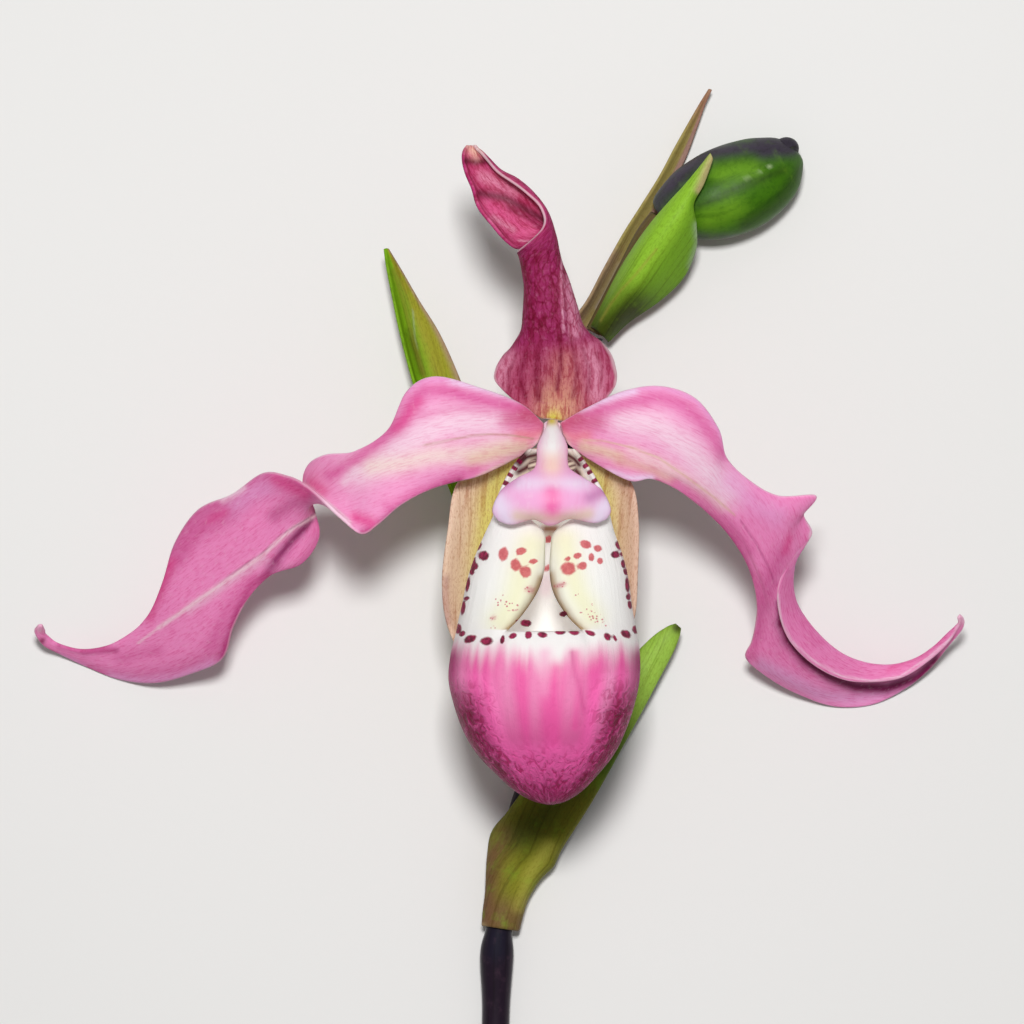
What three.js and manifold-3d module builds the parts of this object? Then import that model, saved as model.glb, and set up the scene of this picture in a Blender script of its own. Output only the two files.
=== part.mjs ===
// A cut spray of a lady's-slipper orchid (Phragmipedium), laid on its back on a flat surface.
// Millimetres, +Z up. The stem runs along +Y and the open flower faces +Z.
// The origin is under the middle of the spray, on the surface.
import * as THREE from 'three';
import Module from 'manifold-3d';

const wasm = await Module();
wasm.setup();

// ---------------------------------------------------------------- driving dimensions

const FLOWER_HEIGHT = 34;        // the flower's centre above the surface
const EYE_HEIGHT = 567.3;        // the eye that the outlines are laid out for, straight above
const EYE_X = -5;                // the eye's foot, from the flower's centre
const EYE_Y = -10.25;
const ORIGIN_X = -6.785;         // the frame's origin, from the flower's centre
const ORIGIN_Y = -32.235;

const PETAL_THICKNESS = 0.75;
const SEPAL_THICKNESS = 0.75;
const BRACT_THICKNESS = 0.7;
const LIP_THICKNESS = 0.9;
const STAMINODE_THICKNESS = 1.1;

// ---------------------------------------------------------------- outlines
// Every outline point is [x, y, z] from the flower's centre, with x and y as the eye sees them
// at the flower's height, and z above the surface. A row of a blade runs across it, from one
// margin over the rib to the other; the rows follow each other from its root to its tip.

// Left petal: a half turn between its broad root part and its hanging end.
const PETAL_LEFT = [
  [[-1.0, 0.8, 32.9], [-1.3, -0.5, 32.9], [-1.9, -1.7, 32.8]],
  [[-3.9, 3.3, 33.9], [-4.2, -0.8, 34.2], [-4.5, -3.5, 33.2]],
  [[-9.0, 5.3, 36.0], [-9.0, -0.9, 35.8], [-9.0, -5.7, 34.4]],
  [[-14.6, 6.7, 37.2], [-13.4, -1.5, 37.0], [-12.6, -6.6, 35.2]],
  [[-18.1, 4.9, 36.4], [-17.0, -2.4, 36.8], [-15.6, -7.6, 35.6]],
  [[-20.4, 0.1, 35.0], [-20.2, -3.4, 35.8], [-18.9, -9.4, 36.0]],
  [[-24.4, -2.6, 33.2], [-23.4, -4.6, 34.2], [-21.6, -11.7, 36.4]],
  [[-28.4, -3.1, 30.6], [-26.4, -6.1, 32.2], [-23.8, -13.0, 36.2]],
  [[-30.5, -4.4, 27.8], [-28.5, -7.6, 30.6], [-26.2, -11.1, 35.6]],
  [[-31.0, -6.8, 25.4], [-29.9, -8.8, 29.0], [-28.7, -8.6, 34.2]],
  [[-29.7, -10.2, 23.6], [-30.9, -10.2, 27.3], [-31.0, -6.7, 32.0]],
  [[-29.1, -13.4, 22.6], [-32.4, -12.0, 25.4], [-33.2, -5.7, 29.4]],
  [[-31.2, -16.6, 21.2], [-34.6, -14.2, 23.2], [-36.2, -5.4, 26.4]],
  [[-35.0, -17.8, 19.6], [-37.3, -16.5, 20.6], [-40.0, -8.0, 23.0]],
  [[-37.9, -21.0, 17.6], [-40.5, -18.9, 17.6], [-44.2, -9.9, 19.4]],
  [[-39.8, -24.6, 15.0], [-43.5, -21.1, 14.6], [-47.1, -14.0, 15.8]],
  [[-41.2, -28.6, 11.6], [-46.4, -23.2, 11.6], [-48.6, -18.8, 12.4]],
  [[-45.2, -30.5, 7.2], [-49.2, -25.0, 8.6], [-50.2, -22.9, 8.6]],
  [[-49.6, -31.6, 3.2], [-52.1, -26.2, 6.0], [-52.4, -26.2, 4.4]],
  [[-54.2, -31.1, 0.62], [-55.2, -27.4, 3.6], [-55.4, -27.9, 1.9]],
  [[-58.2, -29.5, 0.42], [-58.6, -27.7, 2.6], [-58.7, -28.2, 1.4]],
  [[-61.4, -28.0, 1.8], [-61.5, -27.0, 3.2], [-61.6, -27.3, 2.2]],
  [[-63.6, -26.9, 4.2], [-63.3, -26.0, 4.8], [-63.2, -25.8, 4.0]],
  [[-64.7, -25.2, 6.4], [-64.1, -25.1, 6.4], [-63.4, -24.9, 6.2]],
  [[-64.2, -24.4, 7.6], [-64.0, -24.35, 7.6], [-63.7, -24.4, 7.6]],
];

// Right petal: the margin on its upper side folds over the front from the waist to the tip.
const PETAL_RIGHT = [
  [[1.0, 0.9, 32.9], [1.2, 0.2, 33.0], [1.4, -0.5, 33.0], [1.7, -1.1, 32.9], [2.0, -1.7, 32.8]],
  [[4.4, 2.8, 33.9], [4.5, 1.0, 34.3], [4.5, -1.2, 34.2], [4.5, -2.5, 33.8], [4.6, -3.6, 33.2]],
  [[9.0, 4.9, 36.0], [9.1, 1.6, 36.4], [9.3, -2.4, 35.6], [9.4, -4.6, 34.9], [9.6, -6.3, 34.2]],
  [[13.6, 5.5, 37.0], [13.2, 1.2, 37.0], [12.8, -3.4, 35.6], [12.6, -5.0, 34.9], [12.4, -6.1, 34.3]],
  [[17.9, 4.0, 36.6], [17.0, 0.0, 36.6], [16.1, -4.9, 35.0], [15.7, -6.2, 34.2], [15.4, -7.3, 33.4]],
  [[20.8, 0.2, 35.2], [19.8, -3.0, 35.0], [18.8, -6.6, 33.6], [18.3, -7.9, 32.7], [17.8, -9.0, 31.8]],
  [[21.8, -3.4, 33.4], [21.1, -5.8, 33.2], [20.6, -8.4, 32.0], [20.1, -9.7, 31.0], [19.6, -10.5, 30.0]],
  [[24.6, -6.2, 31.2], [23.6, -8.3, 31.2], [22.6, -10.7, 30.0], [22.1, -11.8, 28.9], [21.6, -12.5, 27.9]],
  [[28.3, -8.2, 29.0], [26.3, -10.3, 29.0], [24.4, -13.1, 27.4], [23.9, -14.1, 26.2], [23.4, -15.0, 25.0]],
  [[33.0, -8.2, 27.4], [28.9, -11.6, 27.0], [25.8, -15.6, 24.8], [25.1, -16.5, 23.5], [24.6, -17.3, 22.2]],
  [[31.4, -10.3, 25.4], [29.8, -13.2, 24.8], [26.9, -18.0, 22.2], [26.0, -18.8, 21.0], [25.3, -19.6, 19.8]],
  [[32.5, -12.9, 23.2], [30.4, -15.4, 22.2], [27.6, -20.2, 19.4], [26.6, -21.1, 18.2], [25.6, -22.1, 16.8]],
  [[30.4, -15.3, 22.2], [30.0, -17.6, 19.8], [28.1, -22.1, 17.0], [26.7, -23.1, 15.4], [25.4, -24.3, 13.8]],
  [[28.4, -18.8, 20.6], [30.1, -20.4, 17.2], [28.7, -24.0, 14.4], [26.9, -25.4, 12.8], [24.9, -26.5, 11.0]],
  [[28.3, -22.4, 17.4], [31.1, -22.9, 14.4], [29.8, -26.0, 11.8], [27.0, -28.0, 10.2], [24.2, -28.4, 8.6]],
  [[29.6, -26.2, 14.0], [33.4, -25.8, 11.6], [31.8, -28.3, 9.0], [29.2, -30.4, 7.4], [26.6, -30.6, 6.0]],
  [[32.6, -29.3, 10.8], [36.2, -28.1, 8.8], [34.6, -30.2, 6.2], [32.2, -32.1, 4.6], [30.4, -32.8, 3.2]],
  [[36.4, -31.2, 8.2], [39.4, -29.3, 6.6], [38.0, -31.0, 3.9], [36.4, -33.1, 1.8], [35.2, -34.5, 0.8]],
  [[40.2, -31.5, 6.8], [42.6, -29.5, 5.6], [41.4, -31.0, 2.9], [40.6, -32.7, 1.2], [40.0, -34.3, 0.42]],
  [[43.8, -30.9, 6.6], [45.5, -28.7, 5.8], [44.8, -30.0, 3.4], [44.4, -31.2, 1.9], [44.2, -32.3, 1.3]],
  [[46.8, -29.0, 7.2], [47.7, -27.3, 6.7], [47.4, -28.2, 4.8], [47.3, -29.0, 3.6], [47.2, -29.9, 3.0]],
  [[49.3, -26.8, 8.4], [49.5, -25.6, 8.2], [49.6, -26.2, 7.0], [49.6, -26.7, 6.2], [49.5, -27.1, 5.8]],
  [[50.7, -24.6, 9.8], [50.9, -24.2, 9.9], [51.1, -24.3, 9.5], [51.3, -24.5, 9.2], [51.4, -24.7, 9.0]],
  [[50.7, -23.4, 10.8], [50.9, -23.2, 10.8], [51.0, -23.1, 10.8], [51.2, -23.3, 10.7], [51.3, -23.5, 10.6]],
];

// Synsepal: the two lower sepals grown together, a shallow scoop behind the pouch.
const SYNSEPAL = [
  [[-1.5, -2.3, 32.0], [0.0, -2.3, 31.8], [1.5, -2.3, 32.0]],
  [[-8.0, -3.6, 30.8], [-0.1, -4.6, 29.0], [7.0, -3.6, 30.8]],
  [[-11.9, -6.8, 30.2], [-0.6, -8.0, 26.0], [10.0, -6.8, 30.2]],
  [[-13.0, -12.5, 29.6], [-1.0, -13.0, 23.6], [10.8, -11.4, 29.6]],
  [[-13.7, -19.0, 28.4], [-1.4, -19.0, 21.4], [10.7, -17.6, 28.2]],
  [[-13.0, -24.6, 26.6], [-1.6, -25.0, 20.0], [10.2, -23.8, 26.4]],
  [[-10.2, -29.8, 24.4], [-1.6, -30.4, 19.6], [7.6, -29.2, 24.2]],
  [[-6.0, -33.6, 22.4], [-1.6, -34.2, 19.8], [3.2, -33.2, 22.2]],
  [[-2.3, -36.1, 20.8], [-1.6, -36.4, 20.6], [-0.8, -36.1, 20.8]],
];

// Bract under the open flower: a channel that clasps the stem's left side at its root.
const FLORAL_BRACT = [
  [[-0.9, -31.0, 6.9], [-1.9, -30.6, 4.6], [-1.3, -30.4, 2.4]],
  [[-5.2, -24.0, 7.6], [-4.4, -24.2, 4.0], [-2.2, -24.8, 2.0]],
  [[-9.4, -15.6, 8.1], [-7.8, -16.0, 3.8], [-4.2, -16.6, 2.6]],
  [[-13.0, -6.6, 8.3], [-11.0, -7.4, 4.0], [-6.6, -8.4, 3.4]],
  [[-15.8, 1.2, 8.2], [-13.8, 0.4, 4.4], [-9.2, -0.6, 4.2]],
  [[-17.4, 6.4, 7.9], [-15.8, 5.8, 4.8], [-11.2, 5.6, 4.8]],
  [[-18.9, 12.0, 7.6], [-17.4, 11.4, 5.4], [-13.9, 11.8, 5.4]],
  [[-19.9, 16.6, 7.6], [-18.7, 16.2, 6.0], [-16.6, 16.2, 6.0]],
  [[-20.6, 20.2, 7.8], [-19.9, 19.9, 6.8], [-18.8, 20.0, 6.8]],
  [[-21.0, 22.6, 8.2], [-20.7, 22.7, 8.0], [-20.4, 22.6, 8.0]],
];

// Bract at the stem's end: long, narrow and flat against the surface.
const END_BRACT = [
  [[2.3, 13.4, 3.6], [3.9, 12.8, 0.9], [5.9, 11.8, 1.0]],
  [[4.4, 16.2, 3.6], [5.8, 15.6, 1.1], [7.4, 15.0, 1.6]],
  [[6.5, 20.2, 3.4], [7.9, 19.6, 1.2], [9.2, 19.0, 1.5]],
  [[8.9, 24.5, 3.0], [10.2, 23.9, 1.2], [11.2, 23.4, 1.4]],
  [[11.0, 27.8, 2.8], [12.2, 27.4, 1.2], [13.1, 26.9, 1.3]],
  [[13.5, 31.8, 2.6], [14.5, 31.4, 1.3], [15.3, 31.1, 1.4]],
  [[15.3, 35.2, 2.6], [16.2, 34.8, 1.5], [16.9, 34.4, 1.6]],
  [[17.0, 38.2, 2.7], [17.6, 37.9, 1.9], [18.1, 37.7, 2.0]],
  [[18.5, 40.8, 2.9], [18.8, 40.6, 2.5], [19.1, 40.5, 2.5]],
  [[19.6, 42.6, 3.2], [19.8, 42.6, 3.1], [20.0, 42.5, 3.1]],
];

// Bract that wraps the bud's stalk: keeled, with its tip laid over the bud.
const BUD_BRACT = [
  [[4.9, 12.9, 4.6], [5.9, 12.2, 6.9], [7.0, 11.0, 4.6]],
  [[6.4, 15.8, 5.2], [7.7, 15.1, 9.0], [9.6, 13.5, 4.8]],
  [[8.4, 19.8, 6.2], [10.4, 18.7, 11.2], [13.4, 16.1, 5.6]],
  [[10.4, 23.0, 8.0], [12.8, 22.4, 12.4], [16.4, 19.0, 6.6]],
  [[12.4, 25.8, 10.0], [14.8, 25.2, 13.2], [18.0, 22.6, 8.6]],
  [[14.6, 28.4, 11.6], [16.2, 27.5, 13.5], [18.0, 25.6, 11.2]],
  [[16.6, 30.6, 12.3], [17.2, 29.4, 13.4], [17.6, 28.2, 12.3]],
  [[18.6, 33.0, 12.4], [18.7, 31.9, 13.0], [18.9, 30.7, 12.4]],
  [[19.8, 34.6, 12.2], [19.95, 34.3, 12.3], [20.1, 33.9, 12.2]],
];

// A scroll is a blade rolled round its own length. Each station is
// [x, y, z, half width, half depth, start, end]: the roll runs from start to end, in degrees
// from its right side (0) over the front (90) and the left side (180) to the back (270).

// Dorsal sepal: a flat round base, a neck rolled into a tube, and a twisted trough at its tip.
const DORSAL_SEPAL = [
  [0.0, 1.3, 31.7, 1.3, 0.3, 10, 170],
  [0.25, 3.4, 31.2, 5.2, 0.9, 12, 168],
  [0.42, 5.8, 31.6, 7.6, 1.5, 12, 168],
  [0.42, 8.0, 32.2, 7.3, 2.1, 2, 178],
  [0.3, 9.8, 32.8, 6.25, 2.5, -6, 186],
  [0.15, 11.2, 33.2, 4.8, 2.6, -22, 202],
  [0.0, 12.8, 33.6, 3.7, 2.6, -44, 224],
  [-0.25, 15.2, 34.0, 3.2, 2.6, -60, 238],
  [-0.65, 18.0, 34.4, 2.7, 2.5, -70, 246],
  [-1.2, 20.2, 34.8, 2.4, 2.4, -80, 240],
  [-1.6, 22.0, 35.3, 2.35, 2.3, -100, 216],
  [-1.95, 23.2, 35.7, 2.5, 2.3, -128, 184],
  [-2.55, 24.3, 36.1, 2.85, 2.4, -162, 62],
  [-3.6, 26.0, 36.5, 3.15, 2.5, -184, 28],
  [-5.1, 27.8, 36.7, 3.15, 2.4, -190, 34],
  [-6.9, 29.6, 36.5, 2.85, 2.2, -192, 38],
  [-8.2, 31.3, 35.9, 2.0, 1.8, -194, 34],
  [-9.3, 33.0, 35.1, 1.6, 1.4, -196, 30],
  [-10.0, 34.5, 34.4, 1.1, 0.9, -198, 24],
  [-10.1, 35.6, 33.8, 0.4, 0.35, -198, 20],
];

// Sheathing bract on the lower stem: a tube that is slit on its left side, and that goes on above
// its mouth as a blade in front of the stem.
const SHEATH_BRACT = [
  [-6.5, -62.3, 3.2, 2.25, 2.45, -164, 168],
  [-6.2, -60.4, 3.2, 2.4, 2.5, -164, 168],
  [-5.75, -58.2, 3.2, 2.6, 2.6, -166, 168],
  [-5.2, -56.1, 3.2, 3.1, 2.7, -168, 170],
  [-4.55, -54.2, 3.25, 3.7, 2.75, -172, 172],
  [-3.65, -52.3, 3.5, 4.3, 2.8, -176, 176],
  [-2.3, -50.2, 4.3, 4.0, 2.4, -180, 176],
  [-0.7, -47.9, 5.2, 3.9, 1.9, -180, 180],
  [1.6, -44.6, 5.8, 3.75, 1.5, -180, 180],
  [4.0, -41.2, 5.6, 3.35, 1.4, -180, 180],
  [6.7, -37.2, 5.2, 2.9, 1.3, -180, 180],
  [9.4, -33.2, 4.9, 2.45, 1.2, -180, 180],
  [11.8, -29.6, 4.8, 2.0, 1.0, -180, 180],
  [13.8, -26.9, 4.9, 1.5, 0.8, -180, 180],
  [15.1, -25.3, 5.0, 0.9, 0.5, -180, 180],
  [15.8, -24.5, 5.1, 0.35, 0.2, -180, 180],
];
const SHEATH_MOUTH_STATION = 5;  // the tube's mouth, above which only the front half goes on

// Lip: a slipper-shaped pouch. Each station is a section across it, square to Y:
// [y, left side, right side, z of the sides, depth in front, depth behind,
//  inner edge of the left side lobe, inner edge of the right one, how far those edges tuck in].
const LIP = [
  [-2.4, -2.9, 2.9, 36.0, 1.0, 2.0, -2.8, 2.8, 0.0],
  [-4.0, -4.5, 4.2, 36.2, 1.5, 2.8, -4.3, 4.0, 0.0],
  [-6.2, -5.9, 5.6, 36.2, 1.8, 4.0, -5.6, 5.3, 0.0],
  [-8.6, -6.9, 6.8, 36.1, 2.1, 5.2, -6.2, 6.0, 0.1],
  [-10.8, -7.4, 7.3, 36.0, 2.4, 6.4, -3.6, 3.4, 0.5],
  [-12.8, -8.3, 7.8, 35.8, 3.0, 7.4, -1.15, 0.45, 1.1],
  [-15.0, -9.3, 8.6, 35.6, 4.2, 8.3, -1.0, 0.1, 1.3],
  [-17.4, -10.2, 9.3, 35.4, 5.2, 9.1, -1.1, 0.1, 1.3],
  [-19.6, -10.8, 9.7, 35.2, 6.2, 9.6, -1.7, 0.2, 1.3],
  [-21.6, -11.2, 9.95, 35.0, 7.1, 10.0, -2.8, 0.9, 1.2],
  [-23.8, -11.7, 10.3, 34.8, 8.2, 10.3, -4.3, 2.4, 1.0],
  [-25.7, -12.1, 10.7, 34.6, 9.8, 10.5, -6.0, 4.2, 0.5],
  [-28.2, -12.7, 11.0, 34.4, 11.2, 10.5, -6.4, 4.6, 0.0],
  [-31.2, -12.95, 10.95, 34.2, 12.0, 10.1, -6.5, 4.6, 0.0],
  [-34.4, -12.25, 10.3, 34.2, 11.8, 9.2, -6.2, 4.3, 0.0],
  [-37.6, -11.1, 9.2, 34.3, 10.4, 7.9, -5.6, 3.8, 0.0],
  [-40.4, -9.4, 7.8, 34.5, 8.3, 6.4, -4.8, 3.2, 0.0],
  [-42.8, -7.1, 5.9, 34.7, 6.0, 4.8, -3.7, 2.4, 0.0],
  [-44.8, -4.9, 4.0, 34.8, 3.9, 3.3, -2.6, 1.6, 0.0],
  [-46.1, -2.6, 2.0, 34.8, 2.1, 1.8, -1.5, 0.8, 0.0],
];
const LIP_RIM_STATION = 11;      // the front rim of the mouth
const LIP_ROUNDNESS = 2.3;       // 2 would be an ellipse
const LOBE_TUCK_WIDTH = 1.0;

// Staminode: the shield in front of the column, from the narrow top where the petals meet to its
// two lobes and the tooth between them.
const STAMINODE = [
  [[-0.45, 1.1, 33.4], [0.1, 1.1, 33.7], [0.65, 1.1, 33.4]],
  [[-0.75, 0.0, 35.2], [0.05, 0.0, 35.8], [0.85, 0.0, 35.2]],
  [[-1.7, -2.0, 37.2], [0.0, -2.0, 38.4], [1.8, -2.0, 37.2]],
  [[-1.8, -3.9, 38.8], [0.0, -4.0, 40.1], [1.85, -3.8, 38.8]],
  [[-2.4, -5.2, 39.8], [0.0, -5.3, 41.1], [2.2, -5.0, 39.8]],
  [[-4.6, -6.3, 40.4], [0.0, -6.5, 41.9], [4.0, -6.2, 40.4]],
  [[-6.4, -7.7, 40.6], [0.0, -8.0, 42.5], [6.2, -7.6, 40.6]],
  [[-7.4, -10.0, 40.4], [-0.1, -10.0, 42.5], [7.3, -9.9, 40.4]],
  [
    [-6.6, -11.3, 40.1], [-5.0, -11.8, 40.9], [-2.3, -11.1, 41.3], [-0.2, -11.9, 41.3],
    [2.2, -11.0, 41.3], [5.2, -11.6, 40.9], [6.7, -11.1, 40.1],
  ],
];

// A limb is a solid of oval sections along a curve. Each station is
// [x, y, z, half width across the curve, half height].

const STEM = [
  [-8.0, -104.3, 1.9, 1.75, 1.9],
  [-7.6, -92.0, 1.9, 1.75, 1.9],
  [-7.2, -80.0, 1.92, 1.75, 1.9],
  [-7.0, -72.0, 2.1, 1.75, 1.85],
  [-6.9, -65.6, 2.8, 2.1, 1.95],
  [-6.6, -62.2, 3.2, 1.65, 1.7],
  [-5.85, -57.0, 3.15, 1.65, 1.7],
  [-4.9, -52.0, 3.0, 1.6, 1.6],
  [-3.75, -47.4, 2.5, 1.6, 1.6],
  [-1.9, -42.0, 2.7, 1.65, 1.65],
  [-0.3, -36.0, 3.7, 1.65, 1.65],
  [0.6, -30.4, 4.8, 1.8, 1.8],
  [1.4, -22.0, 3.9, 1.55, 1.55],
  [2.4, -10.0, 3.4, 1.5, 1.5],
  [3.6, 2.0, 3.2, 1.45, 1.45],
  [4.9, 11.6, 3.1, 1.5, 1.4],
];

const BUD_STALK = [
  [5.4, 12.3, 3.05, 1.2, 1.2],
  [7.25, 15.6, 3.5, 1.35, 1.3],
  [9.8, 20.2, 4.4, 1.5, 1.4],
  [12.0, 24.0, 5.2, 1.7, 1.6],
  [13.2, 25.9, 5.5, 1.5, 1.4],
];

const BUD = [
  [13.7, 26.7, 5.6, 1.4, 1.4],
  [14.6, 27.4, 5.6, 2.9, 2.9],
  [16.9, 28.2, 5.6, 4.5, 4.5],
  [20.2, 29.2, 5.6, 5.5, 5.4],
  [23.8, 30.6, 5.6, 5.6, 5.5],
  [27.0, 32.3, 5.6, 4.8, 4.8],
  [29.2, 33.7, 5.6, 3.4, 3.5],
  [30.5, 34.5, 5.6, 1.7, 1.8],
  [30.8, 34.7, 5.6, 0.6, 0.6],
];
const BUD_KNOB = [29.3, 35.2, 6.0, 1.6];    // the blunt tip's upper corner: [x, y, z, radius]

const OVARY = [
  [0.9, -29.4, 8.2, 1.4, 1.3],
  [1.2, -26.8, 9.5, 1.5, 1.5],
  [1.5, -21.0, 12.8, 1.7, 1.7],
  [1.2, -13.6, 17.4, 1.9, 1.9],
  [0.7, -7.0, 22.2, 1.9, 1.9],
  [0.2, -2.6, 26.8, 1.7, 1.7],
  [0.0, -0.8, 29.4, 1.5, 1.5],
  [0.0, -0.2, 31.2, 1.5, 1.5],
];

const COLUMN = [
  [0.0, -0.4, 33.9, 1.0, 0.8],
  [0.0, -0.9, 35.2, 1.1, 1.0],
  [0.0, -2.0, 36.7, 1.5, 1.1],
  [0.0, -3.6, 38.2, 1.7, 1.0],
  [0.0, -6.0, 39.8, 1.8, 0.8],
  [0.0, -8.2, 40.9, 1.2, 0.6],
];

// Anthers and stigma under the staminode: [x, y, z, radius].
const ANTHER_LEFT = [-2.1, -4.6, 38.4, 0.95];
const ANTHER_RIGHT = [2.1, -4.6, 38.4, 0.95];
const STIGMA = [0.0, -6.4, 38.8, 1.6];

// ---------------------------------------------------------------- curves and placing

// The true place of a point that is laid out as the eye sees it.
function place([x, y, z]) {
  const spread = (EYE_HEIGHT - z) / (EYE_HEIGHT - FLOWER_HEIGHT);
  const trueX = EYE_X + (x - EYE_X) * spread;
  const trueY = EYE_Y + (y - EYE_Y) * spread;
  return new THREE.Vector3(trueX - ORIGIN_X, trueY - ORIGIN_Y, z);
}

// A smooth value between b and c, whose outer neighbours are a and d.
function smoothBetween(a, b, c, d, t) {
  const slopeB = (c - a) / 2;
  const slopeC = (d - b) / 2;
  const square = t * t;
  const cube = square * t;
  return (2 * cube - 3 * square + 1) * b + (cube - 2 * square + t) * slopeB
    + (3 * square - 2 * cube) * c + (cube - square) * slopeC;
}

// The row of numbers at position t along a list of such rows, t from 0 to its length less one.
function along(rows, t) {
  const last = rows.length - 1;
  const i = Math.min(Math.floor(t), last - 1);
  const before = i > 0 ? rows[i - 1] : rows[0].map((v, k) => 2 * v - rows[1][k]);
  const after = i < last - 1 ? rows[i + 2] : rows[last].map((v, k) => 2 * v - rows[last - 1][k]);
  return rows[i].map((v, k) => smoothBetween(before[k], v, rows[i + 1][k], after[k], t - i));
}

// A row of three points spread to `count` points on the parabola through them.
function spreadRow(row, count) {
  if (row.length === count) {
    return row;
  }
  const [a, b, c] = row;
  return Array.from({ length: count }, (_, j) => {
    const s = 2 * j / (count - 1) - 1;
    return b.map((v, k) => v + s * (c[k] - a[k]) / 2 + s * s * (c[k] + a[k] - 2 * v) / 2);
  });
}

// ---------------------------------------------------------------- sheets and solids

// The cells of a grid of rows and columns, two triangles each; keep(row, column) may leave some
// out, and a closed grid joins its last column to its first.
function gridFaces(rows, columns, { closed = false, keep = () => true } = {}) {
  const faces = [];
  const cells = closed ? columns : columns - 1;
  for (let i = 0; i < rows - 1; i += 1) {
    for (let j = 0; j < cells; j += 1) {
      if (keep(i, j)) {
        const next = (j + 1) % columns;
        const a = i * columns + j;
        const b = i * columns + next;
        const c = (i + 1) * columns + next;
        const d = (i + 1) * columns + j;
        faces.push([a, b, c], [a, c, d]);
      }
    }
  }
  return faces;
}

function solidFrom(points, faces) {
  const geometry = new THREE.BufferGeometry();
  geometry.setAttribute('position', new THREE.Float32BufferAttribute(points.flatMap((p) => [p.x, p.y, p.z]), 3));
  geometry.setIndex(faces.flat());
  return geometry;
}

// The mean direction that the faces round each point look in.
function pointNormals(points, faces) {
  const normals = points.map(() => new THREE.Vector3());
  for (const [a, b, c] of faces) {
    const edge = points[b].clone().sub(points[a]);
    const normal = edge.cross(points[c].clone().sub(points[a]));
    for (const k of [a, b, c]) {
      normals[k].add(normal);
    }
  }
  return normals.map((n) => n.normalize());
}

// A closed solid of even thickness round a sheet, split alike on both faces.
function thicken({ points, faces }, thickness) {
  const normals = pointNormals(points, faces);
  const used = [...new Set(faces.flat())];
  const slot = new Map(used.map((k, n) => [k, n]));
  const count = used.length;
  const front = used.map((k) => points[k].clone().addScaledVector(normals[k], thickness / 2));
  const back = used.map((k) => points[k].clone().addScaledVector(normals[k], -thickness / 2));
  const solid = [];
  const edges = new Set(faces.flatMap(([a, b, c]) => [`${a},${b}`, `${b},${c}`, `${c},${a}`]));
  for (const face of faces) {
    const [a, b, c] = face.map((k) => slot.get(k));
    solid.push([a, b, c], [count + c, count + b, count + a]);
    for (let k = 0; k < 3; k += 1) {
      const from = face[k];
      const to = face[(k + 1) % 3];
      if (!edges.has(`${to},${from}`)) {
        const p = slot.get(from);
        const q = slot.get(to);
        solid.push([q, p, count + p], [q, count + p, count + q]);
      }
    }
  }
  return solidFrom([...front, ...back], solid);
}

function blade(net, columns, rowSteps, columnSteps) {
  const rows = net.map((row) => spreadRow(row, columns));
  const points = [];
  const rowCount = (rows.length - 1) * rowSteps + 1;
  const columnCount = (columns - 1) * columnSteps + 1;
  const across = rows.map((row) => Array.from({ length: columnCount }, (_, j) => along(row, j / columnSteps)));
  for (let i = 0; i < rowCount; i += 1) {
    for (let j = 0; j < columnCount; j += 1) {
      points.push(place(along(across.map((row) => row[j]), i / rowSteps)));
    }
  }
  return { points, faces: gridFaces(rowCount, columnCount) };
}

function scroll(stations, rowSteps, columnCount, keep) {
  const points = [];
  const rowCount = (stations.length - 1) * rowSteps + 1;
  for (let i = 0; i < rowCount; i += 1) {
    const t = i / rowSteps;
    const [x, y, z, width, depth, start, end] = along(stations, t);
    const ahead = along(stations, Math.min(t + 0.25, stations.length - 1));
    const behind = along(stations, Math.max(t - 0.25, 0));
    const side = new THREE.Vector2(ahead[1] - behind[1], behind[0] - ahead[0]).normalize();
    for (let j = 0; j < columnCount; j += 1) {
      const angle = THREE.MathUtils.degToRad(start + (end - start) * j / (columnCount - 1));
      const reach = width * Math.cos(angle);
      points.push(place([x + side.x * reach, y + side.y * reach, z + depth * Math.sin(angle)]));
    }
  }
  return { points, faces: gridFaces(rowCount, columnCount, { keep }) };
}

function limb(stations, rowSteps, sides, reference) {
  const points = [];
  const rowCount = (stations.length - 1) * rowSteps + 1;
  for (let i = 0; i < rowCount; i += 1) {
    const t = i / rowSteps;
    const [x, y, z, width, height] = along(stations, t);
    const ahead = new THREE.Vector3(...along(stations, Math.min(t + 0.25, stations.length - 1)).slice(0, 3));
    const behind = new THREE.Vector3(...along(stations, Math.max(t - 0.25, 0)).slice(0, 3));
    const direction = ahead.sub(behind).normalize();
    const side = new THREE.Vector3().crossVectors(direction, reference).normalize();
    const up = new THREE.Vector3().crossVectors(side, direction);
    for (let j = 0; j < sides; j += 1) {
      const angle = 2 * Math.PI * j / sides;
      const point = new THREE.Vector3(x, y, z);
      point.addScaledVector(side, width * Math.cos(angle));
      point.addScaledVector(up, height * Math.sin(angle));
      points.push(place(point.toArray()));
    }
  }
  const faces = gridFaces(rowCount, sides, { closed: true }).map(([a, b, c]) => [a, c, b]);
  for (let j = 1; j < sides - 1; j += 1) {
    const last = (rowCount - 1) * sides;
    faces.push([0, j, j + 1], [last, last + j + 1, last + j]);
  }
  return solidFrom(points, faces);
}

function ball([x, y, z, radius]) {
  const centre = place([x, y, z]);
  const geometry = new THREE.SphereGeometry(radius, 10, 6);
  geometry.translate(centre.x, centre.y, centre.z);
  return geometry;
}

// ---------------------------------------------------------------- joining with manifold-3d

function toManifold(geometry) {
  const position = geometry.getAttribute('position');
  const index = geometry.getIndex();
  const mesh = new wasm.Mesh({
    numProp: 3,
    vertProperties: new Float32Array(position.array),
    triVerts: new Uint32Array(index.array),
  });
  mesh.merge();
  return new wasm.Manifold(mesh);
}

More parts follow.
